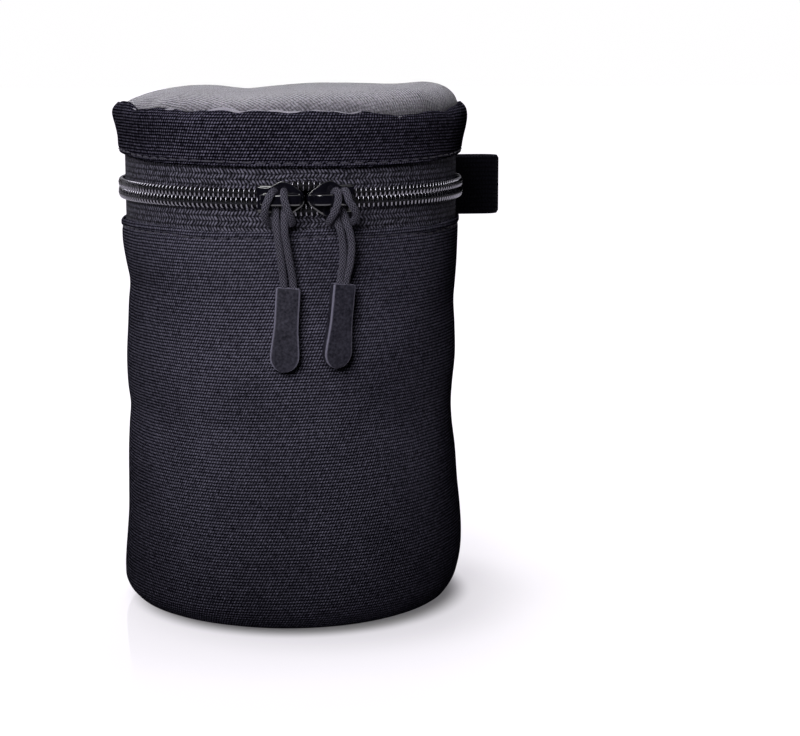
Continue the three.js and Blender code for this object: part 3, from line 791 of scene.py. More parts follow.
def body_radius(angle, height):
    """The side's outer face: the outline, soft waves and the sewn hem."""
    radius = outline_radius(SIDE_OUTLINE, angle, height)
    calm = smoothstep(2 * MM, 14 * MM, height) * (1 - 0.6 * smoothstep(105 * MM, 118 * MM, height))
    radius = radius + ripples(angle, height, 3, SIDE_WAVE) * calm
    hem = MOUTH_HEIGHT - STITCH_DROP
    radius = radius + HEM_STEP * smoothstep(hem, hem + 0.8 * MM, height)
    return radius - HEM_STITCH_DEPTH * bump(height, hem, 0.5 * MM)


def add_body_cloth():
    """The side's cloth, folded in at its mouth and under the base. Returns the mouth's waves."""
    angles = round_angles(BODY_COLUMNS)
    corner = np.linspace(0.3, 8, 12) * MM
    wall = np.linspace(9 * MM, MOUTH_HEIGHT - 4.5 * MM, 100)
    hem = np.linspace(MOUTH_HEIGHT - 4 * MM, MOUTH_HEIGHT - 0.6 * MM, 12)
    rise = np.concatenate([corner, wall, hem])[:, None]
    edge = small_waves(angles, MOUTH_WAVES)
    lift = smoothstep(MOUTH_HEIGHT - MOUTH_WAVE_REACH, MOUTH_HEIGHT, rise) * edge
    outer = body_radius(angles[None], rise)
    fold_turn = np.linspace(0.25, 1, 5)[:, None] * math.pi / 2
    fold_radius = outer[-1:] - MOUTH_FOLD * (1 - np.cos(fold_turn))
    fold_height = rise[-1] + edge + MOUTH_FOLD * np.sin(fold_turn)
    down = np.array(INNER_FACE_HEIGHTS)[:, None] * MM
    inner = body_radius(angles[None], down) - CLOTH_THICKNESS
    clear = TAPE_OUTER + TAPE_CLEARANCE
    inner = np.where(down > TAPE_FACE_HEIGHT, np.maximum(inner, clear), inner)
    last = np.full((1, BODY_COLUMNS), BASE_EDGE[0])
    radius = np.concatenate([outer, fold_radius, inner, last])
    height = np.concatenate([rise + lift, fold_height, down + 0 * angles, 0 * last + BASE_EDGE[1]])
    Surface().ring(angles, radius, height).piece(
        "body_cloth", RIBBED, "body", "outer_fabric", "body_shell")
    return edge


def stitch_stand(points, stand, sunk):
    """How far a stitch stands out at each of its points, with both ends down in the cloth."""
    return stand * np.sin(math.pi * np.linspace(0, 1, points)) ** 0.6 - sunk


def add_stitches(name, body, radius_at, height_at):
    """A row of sewn stitches all round the pouch."""
    surface = Surface()
    count = round(TURN * UNROLL_RADIUS / STITCH_PITCH)
    reach = math.degrees(STITCH_LENGTH / UNROLL_RADIUS)
    random = np.random.default_rng(len(name) + count)
    for i in range(count):
        first = -180 + 360 * i / count + random.uniform(-0.08, 0.08)
        angle = np.linspace(first, first + reach * random.uniform(0.92, 1.04), STITCH_POINTS)
        stand = stitch_stand(STITCH_POINTS, STITCH_STAND, STITCH_SUNK)
        shift = random.uniform(-1, 1) * STITCH_SHIFT
        line = round_point(angle, radius_at(angle) + stand, height_at(angle) + shift)
        surface.tube(line, STITCH_RADIUS, 6)
    surface.piece(name, THREAD, body, "outer_fabric")


mouth_edge = add_body_cloth()


def mouth_wave(angle):
    """The mouth's waves at any angle."""
    return np.interp(angle, round_angles(BODY_COLUMNS), mouth_edge)


def body_stitch_height(angle):
    """The hem's stitching, which follows the edge above it."""
    return MOUTH_HEIGHT - STITCH_DROP + 0.85 * mouth_wave(angle)


add_stitches("body_hem_stitches", "body",
             lambda a: body_radius(a, MOUTH_HEIGHT - STITCH_DROP), body_stitch_height)


# Lid cloth

LID_OUTLINE = [
    [138.6, 52.9, 52.9], [139.6, 53.4, 53.3], [141.5, 53.6, 53.5], [144.6, 53.7, 54.0],
    [147.7, 54.1, 54.6], [150.8, 54.7, 54.9], [152.6, 54.9, 54.8], [154.0, 54.6, 54.5],
    [155.0, 53.9, 53.9], [156.0, 53.0, 52.9],
]
FOOT_ANGLES = [-150, -110, -77, -61, -34, -17, 0, 15, 32, 46, 60, 72, 110, 150]
FOOT_HEIGHTS = [139.4, 140.4, 140.8, 139.9, 139.5, 139.2, 139.1, 138.9, 139.0, 139.5, 140.1,
                140.5, 140.2, 139.4]
CREST_ANGLES = [-165, -130, -100, -84, -72, -62, -51, -40, -28, -14, 8, 21, 35, 46, 57, 65, 72,
                86, 105, 140]
CREST_HEIGHTS = [155.2, 155.6, 156.0, 156.4, 156.8, 154.9, 155.9, 155.0, 155.6, 155.3, 155.1,
                 154.7, 153.5, 154.5, 154.1, 155.2, 156.0, 156.2, 155.6, 155.4]
CREST_WAVES = ((0.16, 23, 0), (0.12, 41, 50))
CREST_ROLL = (0.9 * MM, 0.5 * MM)     # how far the crest turns in, and then down
# The band's inner face, [radius, height]. The last height is from the band's foot.
BAND_INNER = [[51.9, 154.0], [51.8, 153.0], [52.6, 151.6], [52.7, 148.5], [52.4, 144], [52.05, 0.8]]
BAND_FOLD_DEPTH = 0.5 * MM
BAND_HEM_SHARE = 0.085      # where the foot's stitching runs, up the band
BAND_STITCH_RISE = 1.3 * MM
BAND_STITCH_DEPTH = 0.4 * MM
BAND_PUCKER = 0.22 * MM
BAND_WAVE = 0.22 * MM
SEAM_RADIUS = 52.0 * MM
SEAM_HEIGHT = 154.0 * MM
LID_COLUMNS = 288


def foot_height(angle):
    """The band's folded bottom edge."""
    return eased_round(angle, FOOT_ANGLES, FOOT_HEIGHTS) * MM


def crest_height(angle):
    """The band's puckered top edge."""
    heights = eased_round(angle, CREST_ANGLES, CREST_HEIGHTS) * MM
    return heights + small_waves(angle, CREST_WAVES)


def band_radius(angle, share):
    """The band's outer face, at a share of the way from its fold up to its crest."""
    lowest, highest = LID_OUTLINE[0][0] * MM, LID_OUTLINE[-1][0] * MM
    height = lowest + (highest - lowest) * share
    radius = outline_radius(LID_OUTLINE, angle, height)
    pucker = BAND_PUCKER * np.sin(np.radians(angle * 17 + 30 * np.sin(np.radians(angle * 3))))
    radius = radius + pucker * smoothstep(0.72, 0.97, share)
    radius = radius + ripples(angle, height, 11, BAND_WAVE) * smoothstep(0, 0.3, share)
    return radius - BAND_STITCH_DEPTH * bump(share, BAND_HEM_SHARE, 0.03)


def add_band():
    """The lid's band: up its outer face, over the crest, down inside and round the folded foot."""
    angles = round_angles(LID_COLUMNS)
    share = np.concatenate([np.linspace(0.02, 0.16, 10), np.linspace(0.2, 0.9, 20),
                            np.linspace(0.92, 1, 6)])[:, None]
    foot, crest = foot_height(angles)[None], crest_height(angles)[None]
    outer = band_radius(angles[None], share)
    height = foot + (crest - foot) * share
    roll = np.linspace(0.3, 1, 4)[:, None] * math.pi / 2
    top_radius = outer[-1:] - CREST_ROLL[0] * np.sin(roll)
    top_height = crest - CREST_ROLL[1] * (1 - np.cos(roll))
    inner_radius, inner_height = (np.array(column)[:, None] * MM + 0 * angles
                                  for column in zip(*BAND_INNER))
    inner_height[-1] += foot[0]
    turn = np.linspace(0.2, 0.8, 4)[:, None] * math.pi
    middle, half = (inner_radius[-1] + outer[0]) / 2, (outer[0] - inner_radius[-1]) / 2
    fold_radius = middle - half * np.cos(turn)
    fold_height = foot + BAND_FOLD_DEPTH * (1 - np.sin(turn))
    radius = np.concatenate([outer, top_radius, inner_radius, fold_radius])
    heights = np.concatenate([height, top_height, inner_height, fold_height])
    Surface().ring(angles, radius, heights).piece(
        "lid_band_cloth", SHADED_BAND_CLOTH, "lid", "outer_fabric", "lid_band")


add_band()
add_stitches("lid_hem_stitches", "lid", lambda a: band_radius(a, BAND_HEM_SHARE),
             lambda a: foot_height(a) + BAND_STITCH_RISE)


# Padded top

CROWN_HEIGHT = 161.5 * MM
TOP_RINGS = 64
CREST_LEVEL = 155 * MM      # the crest's middle height, where the seam keeps its own
TOP_FOLD = 0.7 * MM         # the soft ridge across the top's right part
FOLD_PLACE = 22 * MM        # in front of the middle
FOLD_SLANT = 0.25
FOLD_WIDTH = 6 * MM
FOLD_START = (-5 * MM, 15 * MM)      # to the right of the middle
TOP_WAVE = 0.25 * MM
TOP_GATHER = 0.3 * MM       # the puckers at its seam
TOP_UNDERSIDE = [[0.8, 150.8], [30.0, 150.8], [49.0, 151.0], [51.4, 152.2]]   # out, and up
EDGE_RADIUS = 52.85 * MM     # the turned-up cut edge inside the crest
EDGE_DROP = 0.3 * MM
EDGE_HIDE = 1.1 * MM        # how much lower it lies away from the front, so that its painted highlight shows mostly near the front
EDGE_HIGH_PLACE = (-10, 62)  # where it stands highest, and how far round that fades
EDGE_SWAY = 0.12 * MM
EDGE_WAVE = 0.22 * MM
EDGE_HALF_WIDTH = 0.26 * MM
EDGE_HALF_HEIGHT = 0.5 * MM
EDGE_GIRTH = 4 * MM         # for its finish
SKYLINE_PLACES = [-52, -33, -24, -14, -7, 3, 18, 34, 41, 52]      # to the right of the middle
SKYLINE_HEIGHTS = [-0.2, 0.1, -0.4, -1.7, -1.2, -0.5, -0.2, 0.0, 0.9, 0.6]


def crown(radius_share, angle):
    """Height of the padded top: full over the middle, then down to its seam."""
    side = 1 - left_share(angle)
    fullness, steepness = 5 + 7 * side, 0.75 - 0.25 * side
    edge = SEAM_HEIGHT + 0.6 * (crest_height(angle) - CREST_LEVEL)
    dome = np.clip(1 - radius_share**fullness, 0, 1) ** steepness
    place = round_point(angle - FACING, radius_share * SEAM_RADIUS, 0)
    wave = eased(place[..., 0] / MM, SKYLINE_PLACES, SKYLINE_HEIGHTS) * MM
    across = place[..., 1] + FOLD_PLACE + FOLD_SLANT * place[..., 0]
    fold = TOP_FOLD * np.exp(-(across / FOLD_WIDTH) ** 2)
    fold = fold * smoothstep(*FOLD_START, place[..., 0])
    soft = ripples(angle, radius_share * 60 * MM, 21, TOP_WAVE) * radius_share
    pucker = np.sin(np.radians(angle * 26 + 60 * np.sin(np.radians(angle * 5))))
    gather = TOP_GATHER * pucker * smoothstep(0.8, 0.95, radius_share)
    return edge + (CROWN_HEIGHT - edge) * dome + (wave + fold + soft) * dome + gather * (1 - dome)


def add_top():
    """The padded top, closed underneath, with its cloth measured from the middle out."""
    angles = round_angles(LID_COLUMNS)
    share = 1 - (1 - np.linspace(0.012, 1, TOP_RINGS)) ** 1.6
    share = share[::-1, None]
    height = crown(share, angles[None])
    radius = share * SEAM_RADIUS + 0 * angles
    points = round_point(angles[None], radius, height)
    out, up = np.array(TOP_UNDERSIDE).T[..., None] * MM
    rows = np.concatenate([round_point(angles[None], out, up), points])
    closed = np.concatenate([rows, rows[:, :1]], axis=1)
    gaps = np.linalg.norm(np.diff(closed, axis=0), axis=2)
    reach = np.concatenate([np.zeros((1, closed.shape[1])), np.cumsum(gaps, axis=0)])
    reach = np.abs(reach[-1:] - reach)
    turn = np.radians(np.append(angles, 180))[None]
    top = Surface().grid(rows, reach * np.sin(turn), -reach * np.cos(turn)).piece(
        "lid_top_panel", TWILL, "lid", "top_fabric", "lid_top", "lid_top_foam")


add_top()


def add_rim_edge():
    """The top's cut edge, turned up inside the band's crest; its light yarn is a painted highlight.
    """
    angles = round_angles(LID_COLUMNS * 2)
    drop = EDGE_DROP + EDGE_HIDE * (1 - bump(angles, *EDGE_HIGH_PLACE))
    sway = ripples(angles, 0 * angles, 31, EDGE_SWAY, 9, 30)
    wave = ripples(angles, 0 * angles, 32, EDGE_WAVE, 9, 60)
    line = round_point(angles, EDGE_RADIUS + sway, crest_height(angles) - drop + wave)
    turn = np.arange(8) * TURN / 8
    out = round_point(angles, 1.0, 0.0)
    ring = EDGE_HALF_WIDTH * np.cos(turn)[None, :, None] * out[:, None]
    ring[..., 2] += EDGE_HALF_HEIGHT * np.sin(turn)[None]
    around = unrolled(np.append(angles, 180))[:, None]
    girth = np.linspace(0, EDGE_GIRTH, 9)[None]
    Surface().grid(line[:, None] + ring, around, girth, "joined").piece(
        "lid_top_edge", CUT_EDGE_HIGHLIGHT, "lid", "top_fabric")


add_rim_edge()


# Zip tapes and chain

TAPE_BEAD = 0.12 * MM
TAPE_BEAD_PLACE = (1.2 * MM, 1.0 * MM)   # from the inner edge, and how wide
SPREAD = 2.2 * MM           # how far each half stands aside between the sliders
SPREAD_START = 2 * MM
SPREAD_END = 10 * MM
COIL_PITCH = 1.55 * MM
COIL_RADIUS = 0.34 * MM     # of the filament
COIL_HALF_HEIGHT = 0.72 * MM
COIL_REACH = 2.82 * MM      # of the outer loops, from the chain's middle
HEAD_LINE = 0.3 * MM        # where the heads of the two halves meet
HEAD_OVERLAP = 0.1 * MM
COIL_OUT = 52.6 * MM
TURN_STEPS = 18
LOOP_SHARES = [0, 0.12, 0.36, 0.5, 0.64, 0.88, 1]   # of one turn, from a head
LOOP_STEPS = [0, 0.08, 0.13, 0.32, 0.51, 0.76, 1]   # how far along the zip it is by then
COIL_SIDES = 7
COVER_MIDDLES = {"lower": 1.5 * MM, "upper": 1.68 * MM}
COVER_HALF_WIDTHS = {"lower": 0.28 * MM, "upper": 0.25 * MM}
COVER_HALF_THICKNESS = 0.22 * MM
STRIP_GIRTH = 3 * MM        # for its finish
COVER_OUT = COIL_OUT + COIL_HALF_HEIGHT + 0.1 * MM
CORE_HALF_WIDTH = 0.95 * MM
CORE_HALF_THICKNESS = 0.36 * MM


def parted(angle):
    """How far the chain's halves are pushed apart at an angle."""
    run = np.abs(np.radians(angle)) * COIL_OUT
    return SPREAD * (1 - smoothstep(SPREAD_START, SPREAD_END, run))


def add_tape(name, body, direction, node):
    """One zip tape, with a slight bead beside the chain."""
    angles = np.linspace(-TAPE_END, TAPE_END, 221)
    share = np.array([0, 0.02, 0.06, 0.12, 0.2, 0.3, 0.45, 0.7, 1.0])
    faces = []
    for radius, order in ((TAPE_OUTER, share), (TAPE_INNER, share[::-1])):
        away = order[:, None] * TAPE_WIDTH
        give = parted(angles)[None] * (1 - smoothstep(0, 7 * MM, away))
        height = ZIP_HEIGHT + direction * (CHAIN_GAP / 2 + away + give)
        bead = TAPE_BEAD * bump(away, *TAPE_BEAD_PLACE)
        faces.append(round_point(angles[None], radius + bead * (radius == TAPE_OUTER), height))
    sections = np.concatenate(faces).transpose(1, 0, 2)
    run = np.concatenate([share, share[::-1], share[:1]]) * TAPE_WIDTH
    Surface().grid(sections, unrolled(angles)[:, None], run[None]).piece(
        name, TAPE, body, "zip_tape", node)


def add_coil(name, body, direction, node):
    """Half the chain: one filament wound in flat loops, its heads between the other half's."""
    turns = round(math.radians(2 * ZIP_END - 2) * COIL_OUT / COIL_PITCH)
    count = np.arange(turns * TURN_STEPS + 1) / TURN_STEPS
    swing = TURN * count
    offset = 0 if direction > 0 else 0.5
    step = np.floor(count) + eased(count % 1, LOOP_SHARES, LOOP_STEPS)
    angle = np.degrees((step + offset - turns / 2) * COIL_PITCH / COIL_OUT)
    width = np.sign(np.cos(swing)) * np.abs(np.cos(swing)) ** 0.8
    depth = np.sign(np.sin(swing)) * np.abs(np.sin(swing)) ** 0.9
    inner = direction * HEAD_LINE - HEAD_OVERLAP
    middle, half = (COIL_REACH + inner) / 2, (COIL_REACH - inner) / 2
    height = ZIP_HEIGHT + direction * (middle - half * width + parted(angle))
    line = round_point(angle, COIL_OUT + COIL_HALF_HEIGHT * depth, height)
    swell = 1 + 0.16 * smoothstep(0.6, 1, width)
    Surface().tube(line, (COIL_RADIUS * swell)[:, None], COIL_SIDES).piece(
        name, NYLON, body, "zip_coil", node)


def add_chain_strip(name, body, direction, middle, half_width, out, half_thickness, material):
    """A strip along half the chain: the cord inside its loops, or the yarn that binds them."""
    steps = round(math.radians(2 * ZIP_END - 2) * COIL_OUT / COIL_PITCH) * 5
    angles = np.linspace(-ZIP_END + 1, ZIP_END - 1, steps)
    wave = np.cos(TURN * np.radians(angles) * COIL_OUT / COIL_PITCH)[:, None]
    turn = np.arange(10) * TURN / 10
    radius = out + half_thickness * (np.sin(turn)[None] + 0.3 * wave)
    wide = half_width * (1 + 0.1 * wave)
    height = ZIP_HEIGHT + direction * (middle + parted(angles)[:, None] + wide * np.cos(turn))
    points = round_point(angles[:, None], radius, height)
    Surface().grid(points, unrolled(angles)[:, None], np.linspace(0, STRIP_GIRTH, 11)[None]).piece(
        name, material, body, "zip_coil")


for half, half_body, way in (("lower", "body", -1), ("upper", "lid", 1)):
    add_tape(f"{half}_zip_tape", half_body, way, f"{half}_tape")
    add_coil(f"{half}_zip_coil", half_body, way, f"{half}_coil")
    add_chain_strip(f"{half}_chain_cover", half_body, way, COVER_MIDDLES[half],
                    COVER_HALF_WIDTHS[half], COVER_OUT, COVER_HALF_THICKNESS, COVER)
    add_chain_strip(f"{half}_chain_core", half_body, way, COIL_REACH / 2, CORE_HALF_WIDTH,
                    COIL_OUT, CORE_HALF_THICKNESS, CORE)


# Sliders

PLATE_SHARES = [-0.5, -0.23, -0.117, -0.04, 0, 0.065, 0.159, 0.24, 0.325, 0.401, 0.476, 0.5]
PLATE_HALVES = [3.57, 3.57, 4.4, 5.0, 5.2, 5.1, 4.71, 4.19, 3.29, 2.55, 1.34, 0.5]
PLATE_EDGE = 0.2 * MM
PLATE_DOME = 0.04 * MM
BAR_HALF_WIDTH = 1.6 * MM
BAR_HALF_THICKNESS = 0.85 * MM
BAR_CORNER = 0.32 * MM
BAR_CROWN = 0.03 * MM
BAR_TAIL = -5.4             # millimetres along the slider
BAR_NOSE = 5.8
BAR_OUT = 59.3              # its middle, from the pouch's axis
# Each end of the bar: how far in from the end, and out from the axis
BAR_END = [[-0.1, 55.6], [-0.05, 57.0], [0.45, 58.2], [1.5, 58.85], [3.2, 59.2]]
LIP_INNER = 3.3 * MM        # each side of the chain's middle
LIP_OUTER = 3.85 * MM
LIP_REACH_SHARES = (-0.485, -0.16)    # of the slider's length
POST_ALONG = (2.2 * MM, 4.8 * MM)
POST_HALF_WIDTH = 0.2 * MM
LIP_SUNK = 0.5 * MM         # into the face plate, and its gap to the tape
POST_SUNK = 0.4 * MM        # into each plate
BACK_INSET = 0.2 * MM       # how much smaller the back plate is all round
PLATE_GIRTH = 24 * MM       # these three are for the finish
BLOCK_GIRTH = 8 * MM
BAR_RUN = 18 * MM


def slider_point(angle, nose, along, radius, height):
    """A point of a slider, bent round the zip: along runs from its tail to its nose."""
    return round_point(angle + nose * np.degrees(along / FACE_INNER), radius, ZIP_HEIGHT + height)


def add_plate(surface, angle, nose, inner, outer, dome, inset=0):
    """A rounded plate with the slider's outline."""
    shares = np.concatenate([[-0.5, -0.497, -0.488, -0.47], np.linspace(-0.44, 0.4, 34),
                             0.5 - 0.1 * np.linspace(1, 0, 8)[1:] ** 2])
    halves = eased(shares, PLATE_SHARES, PLATE_HALVES) * MM - inset
    end = np.minimum(np.abs(shares + 0.5), np.abs(shares - 0.5)) * SLIDER_LENGTH
    trim = PLATE_EDGE * (1 - np.sqrt(1 - (1 - np.clip(end / PLATE_EDGE, 0, 1)) ** 2))
    rows = []
    for share, half, cut in zip(shares, halves, trim):
        half = max(half - cut, 0.15 * MM)
        edge = min(PLATE_EDGE, half * 0.8)
        section = []
        for turn in np.linspace(0, math.pi / 2, 6):
            section.append([half - edge * (1 - math.cos(turn)), outer - edge * (1 - math.sin(turn))])
        crown_places = np.linspace(0.85, -0.85, 7) * (half - edge)
        for across in crown_places:
            section.append([across, outer + dome * (1 - (across / half) ** 2)])
        section.extend([[-across, out] for across, out in section[:6]][::-1])
        section.extend([[-half, inner + edge / 2], [-half + edge / 2, inner],
                        [half - edge / 2, inner], [half, inner + edge / 2]])
        section = np.array(section)
        lowered = np.minimum(section[:, 1], outer + dome - cut)
        rows.append(slider_point(angle, nose, share * SLIDER_LENGTH, lowered, section[:, 0]))
    points = np.array(rows)
    run = np.linspace(0, PLATE_GIRTH, points.shape[1] + 1)
    surface.grid(points, run[None], (shares * SLIDER_LENGTH)[:, None])


def add_block(surface, angle, nose, alongs, inner, outer, low, high):
    """A short wall that follows the zip, such as a lip or the post."""
    radius = np.array([inner, outer, outer, inner])
    height = np.array([low, low, high, high])
    rows = [slider_point(angle, nose, along, radius, height) for along in alongs]
    surface.grid(np.array(rows), np.linspace(0, BLOCK_GIRTH, 5)[None], alongs[:, None])


def add_slider(side, angle, nose):
    """A slider: two plates, lips and a post in one piece, and its bar in another."""
    surface = Surface()
    add_plate(surface, angle, nose, FACE_INNER, FACE_OUTER - PLATE_DOME / 2, PLATE_DOME)
    add_plate(surface, angle, nose, BACK_INNER, BACK_OUTER, 0, BACK_INSET)
    lip_alongs = np.linspace(*LIP_REACH_SHARES, 8) * SLIDER_LENGTH
    for way in (1, -1):
        low, high = sorted((way * LIP_INNER, way * LIP_OUTER))
        add_block(surface, angle, nose, lip_alongs, TAPE_OUTER + LIP_SUNK,
                  FACE_INNER + LIP_SUNK, low, high)
    add_block(surface, angle, nose, np.linspace(*POST_ALONG, 4), BACK_OUTER - POST_SUNK,
              FACE_INNER + POST_SUNK, -POST_HALF_WIDTH, POST_HALF_WIDTH)
    body = f"{side}_slider"
    surface.piece(f"{side}_slider_plates", PAINT, body, "slider_metal", f"{side}_slider_body")

    route = [[BAR_TAIL + along, out, 0] for along, out in BAR_END]
    route.append([(BAR_TAIL + BAR_NOSE) / 2, BAR_OUT, 0])
    route.extend([BAR_NOSE - along, out, 0] for along, out in reversed(BAR_END))
    flat = rounded_line(route, 6)
    tangent = directions(flat)
    ends = np.minimum(np.arange(len(flat)), np.arange(len(flat))[::-1]) / 12
    thick = BAR_HALF_THICKNESS * (0.6 + 0.4 * smoothstep(0.2, 1.6, ends))
    wide = BAR_HALF_WIDTH * (0.84 + 0.16 * smoothstep(0.2, 1.4, ends))
    sections = np.array([rounded_oblong(half, deep, BAR_CORNER) for half, deep in zip(wide, thick)])
    across, out = sections[..., 0], sections[..., 1]
    out = out + BAR_CROWN * (out > 0) * (1 - (across / wide[:, None]) ** 2)
    along_place = flat[:, :1] * MM - tangent[:, 1:2] * out
    out_place = flat[:, 1:2] * MM + tangent[:, :1] * out
    local = np.stack([nose * along_place, out_place, ZIP_HEIGHT + across], -1) / MM
    points = in_slider_frame(local.reshape(-1, 3), angle).reshape(local.shape)
    around = distances(sections[len(sections) // 2], closed=True)[None]
    run = np.linspace(0, BAR_RUN, len(flat))[:, None]
    Surface().grid(points, around, run).piece(
        f"{side}_slider_bar", PAINT, body, "slider_metal", f"{side}_slider_bridge")


add_slider("left", -SLIDER_ANGLE, 1)
add_slider("right", SLIDER_ANGLE, -1)


# Hinge cloth, between the body and the lid

HINGE_THICKNESS = 0.7 * MM


def add_hinge():
    """The cloth between the zip's ends, as tall as the two tapes."""
    angles = np.linspace(180 - HINGE_HALF_ANGLE, 180 + HINGE_HALF_ANGLE, 61)
    low = ZIP_HEIGHT - CHAIN_GAP / 2 - TAPE_WIDTH
    high = ZIP_HEIGHT + CHAIN_GAP / 2 + TAPE_WIDTH
    heights = np.linspace(low, high, 60)
    outer = TAPE_OUTER + 0.1 * MM * np.sin(heights / (5 * MM))
    inner = outer - HINGE_THICKNESS
    radius = np.concatenate([outer, inner[::-1]])[:, None]
    height = np.concatenate([heights, heights[::-1]])[:, None]
    sections = round_point(angles[None], radius, height).transpose(1, 0, 2)
    run = np.concatenate([height[:, 0], height[:1, 0]])
    hinge = Surface().grid(sections, unrolled(angles)[:, None], run[None]).piece(
        "hinge_cloth", RIBBED, None, "outer_fabric", "hinge_panel", "lid_hinge_panel")
    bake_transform(hinge)


add_hinge()


# Carry loop

STRAP_WIDTH = 20 * MM
STRAP_THICKNESS = 1.5 * MM
STRAP_TOP = 135.7 * MM
STRAP_SEAT = 53.85 * MM
STRAP_LEFT = 26             # degrees left of the back
STRAP_LEAVE = 4
STRAP_FLAT_START = 11 * MM
STRAP_FLAT_END = 19 * MM
STRAP_STRAIGHT_END = 71 * MM
STRAP_LOOP_DEPTH = 9.4 * MM
STRAP_STEP = 1.0 * MM
BOX_INSETS = (1 * MM, 0.5 * MM)      # from the flat part's left and right end
BOX_STITCH_PITCH = 2.6 * MM
END_STITCH_PITCH = 2.8 * MM
END_STITCH_LENGTH = 2.3 * MM
STRAP_STITCH_INSET = 2.5 * MM
STRAP_STITCH_STAND = 0.3 * MM
STRAP_STITCH_SUNK = 0.16 * MM


def strap_line():
    """The webbing's middle: round the back, out, round the loop and back onto itself."""
    angles = np.linspace(180 + STRAP_LEFT, 180 - STRAP_LEAVE, 14)
    points = list(round_point(angles, STRAP_SEAT, 0.0))
    straight = points[-1][1]
    for along in (STRAP_FLAT_START, STRAP_FLAT_END, (STRAP_FLAT_END + STRAP_STRAIGHT_END) / 2):
        points.append([along, straight, 0])
    turn_radius = STRAP_LOOP_DEPTH / 2
    for turn in np.linspace(0, math.pi, 9):
        points.append([STRAP_STRAIGHT_END + turn_radius * math.sin(turn),
                       straight + turn_radius * (1 - math.cos(turn)), 0])
    stacked = straight + STRAP_THICKNESS + LAYER_GAP
    back = straight + STRAP_LOOP_DEPTH
    rise = STRAP_STRAIGHT_END - STRAP_FLAT_END
    for share, kept in ((0.3, 0.99), (0.5, 0.86), (0.7, 0.56), (0.88, 0.17)):
        points.append([STRAP_STRAIGHT_END - rise * share, stacked + (back - stacked) * kept, 0])
    points.extend([[STRAP_FLAT_END, stacked, 0], [STRAP_FLAT_START, stacked, 0]])
    return even_line(rounded_line(points, 6), STRAP_STEP)


def add_strap():
    """The webbing, with thinner edges."""
    line = strap_line()
    tangent = directions(line)
    side = np.stack([-tangent[:, 1], tangent[:, 0], 0 * tangent[:, 0]], -1)
    half = STRAP_THICKNESS / 2
    section = []
    middle = STRAP_TOP - STRAP_WIDTH / 2
    for share in np.linspace(-1, 1, 21):
        edge = half * (1 - 0.75 * max(0, (abs(share) - 0.93) / 0.07) ** 2)
        section.append([edge, share * STRAP_WIDTH / 2])
    section = section + [[-thick, up] for thick, up in section[::-1]]
    section = np.array(section)
    points = line[:, None] + side[:, None] * section[None, :, :1]
    points[..., 2] = middle + section[None, :, 1]
    run = np.arange(len(line))[:, None] * STRAP_STEP
    across = np.append(section[:, 1], section[0, 1])[None]
    Surface().grid(points, run, across).piece(
        "carry_loop", WEBBING, "body", "webbing", "carry_strap")


def add_strap_stitches():
    """A sewn box with a cross on the outer ply, and a row at the other end."""
    line = strap_line()
    outer = line[-1][1] + STRAP_THICKNESS / 2
    low = STRAP_TOP - STRAP_WIDTH + STRAP_STITCH_INSET
    high = STRAP_TOP - STRAP_STITCH_INSET
    stand = stitch_stand(5, STRAP_STITCH_STAND, STRAP_STITCH_SUNK)
    left, right = STRAP_FLAT_START + BOX_INSETS[0], STRAP_FLAT_END - BOX_INSETS[1]
    corners = [(left, low), (right, low), (right, high), (left, high)]
    runs = [(corners[i], corners[(i + 1) % 4]) for i in range(4)]
    runs += [(corners[0], corners[2]), (corners[1], corners[3])]
    surface = Surface()
    for (x1, z1), (x2, z2) in runs:
        length = math.hypot(x2 - x1, z2 - z1)
        count = max(2, round(length / BOX_STITCH_PITCH))
        for i in range(count):
            share = (i + np.linspace(0.08, 0.86, 5)) / count
            x, z = x1 + (x2 - x1) * share, z1 + (z2 - z1) * share
            surface.tube(np.stack([x, outer + stand, z], -1), STITCH_RADIUS, 6)
    for angle in (180 + STRAP_LEFT - 2, 180 + STRAP_LEFT - 5):
        for low_end in np.arange(low, high, END_STITCH_PITCH):
            height = np.linspace(low_end, low_end + END_STITCH_LENGTH, 5)
            surface.tube(round_point(angle, STRAP_SEAT + STRAP_THICKNESS / 2 + stand, height),
                         STITCH_RADIUS, 6)
    surface.piece("carry_loop_stitches", THREAD, "body", "webbing")


add_strap()
add_strap_stitches()


# Padding, lining and base

INNER_COLUMNS = 144


def soft_ring(name, outline, finish, body, node, sway=0.0, rounding=3):
    """A ring from a closed outline of [radius, height] in millimetres, with eased corners.
    finish is a material and its slot."""
    points = np.array(outline, float) * MM
    for _ in range(rounding):
        after = np.roll(points, -1, axis=0)
        points = np.stack([points * 0.8 + after * 0.2, points * 0.2 + after * 0.8], 1).reshape(-1, 2)
    angles = round_angles(INNER_COLUMNS)
    wave = ripples(angles[None], points[:, 1:], len(name), sway * MM)
    return Surface().ring(angles, points[:, :1] + wave, points[:, 1:] + 0 * angles).piece(
        name, finish[0], body, finish[1], node)


def soft_disc(name, radius, low, high, finish, body, node, puff=0.0):
    """A flat round piece with soft edges, a little fuller in the middle."""
    angles = round_angles(INNER_COLUMNS)
    edge = (high - low) / 2
    share = np.linspace(0.02, 1, 24)
    reach = share * (radius - edge)
    lift = puff * (1 - share**2)
    turn = np.linspace(-math.pi / 2, math.pi / 2, 9)[1:-1]
    rows = [*zip(reach, low + 0 * reach),
            *zip(radius - edge + edge * np.cos(turn), (low + high) / 2 + edge * np.sin(turn)),
            *zip(reach[::-1], (high + lift)[::-1])]
    points = np.array([round_point(angles, r * MM, z * MM) for r, z in rows])
    closed = np.concatenate([points, points[:, :1]], axis=1)
    return Surface().grid(points, closed[..., 0], closed[..., 1]).piece(
        name, finish[0], body, finish[1], node)


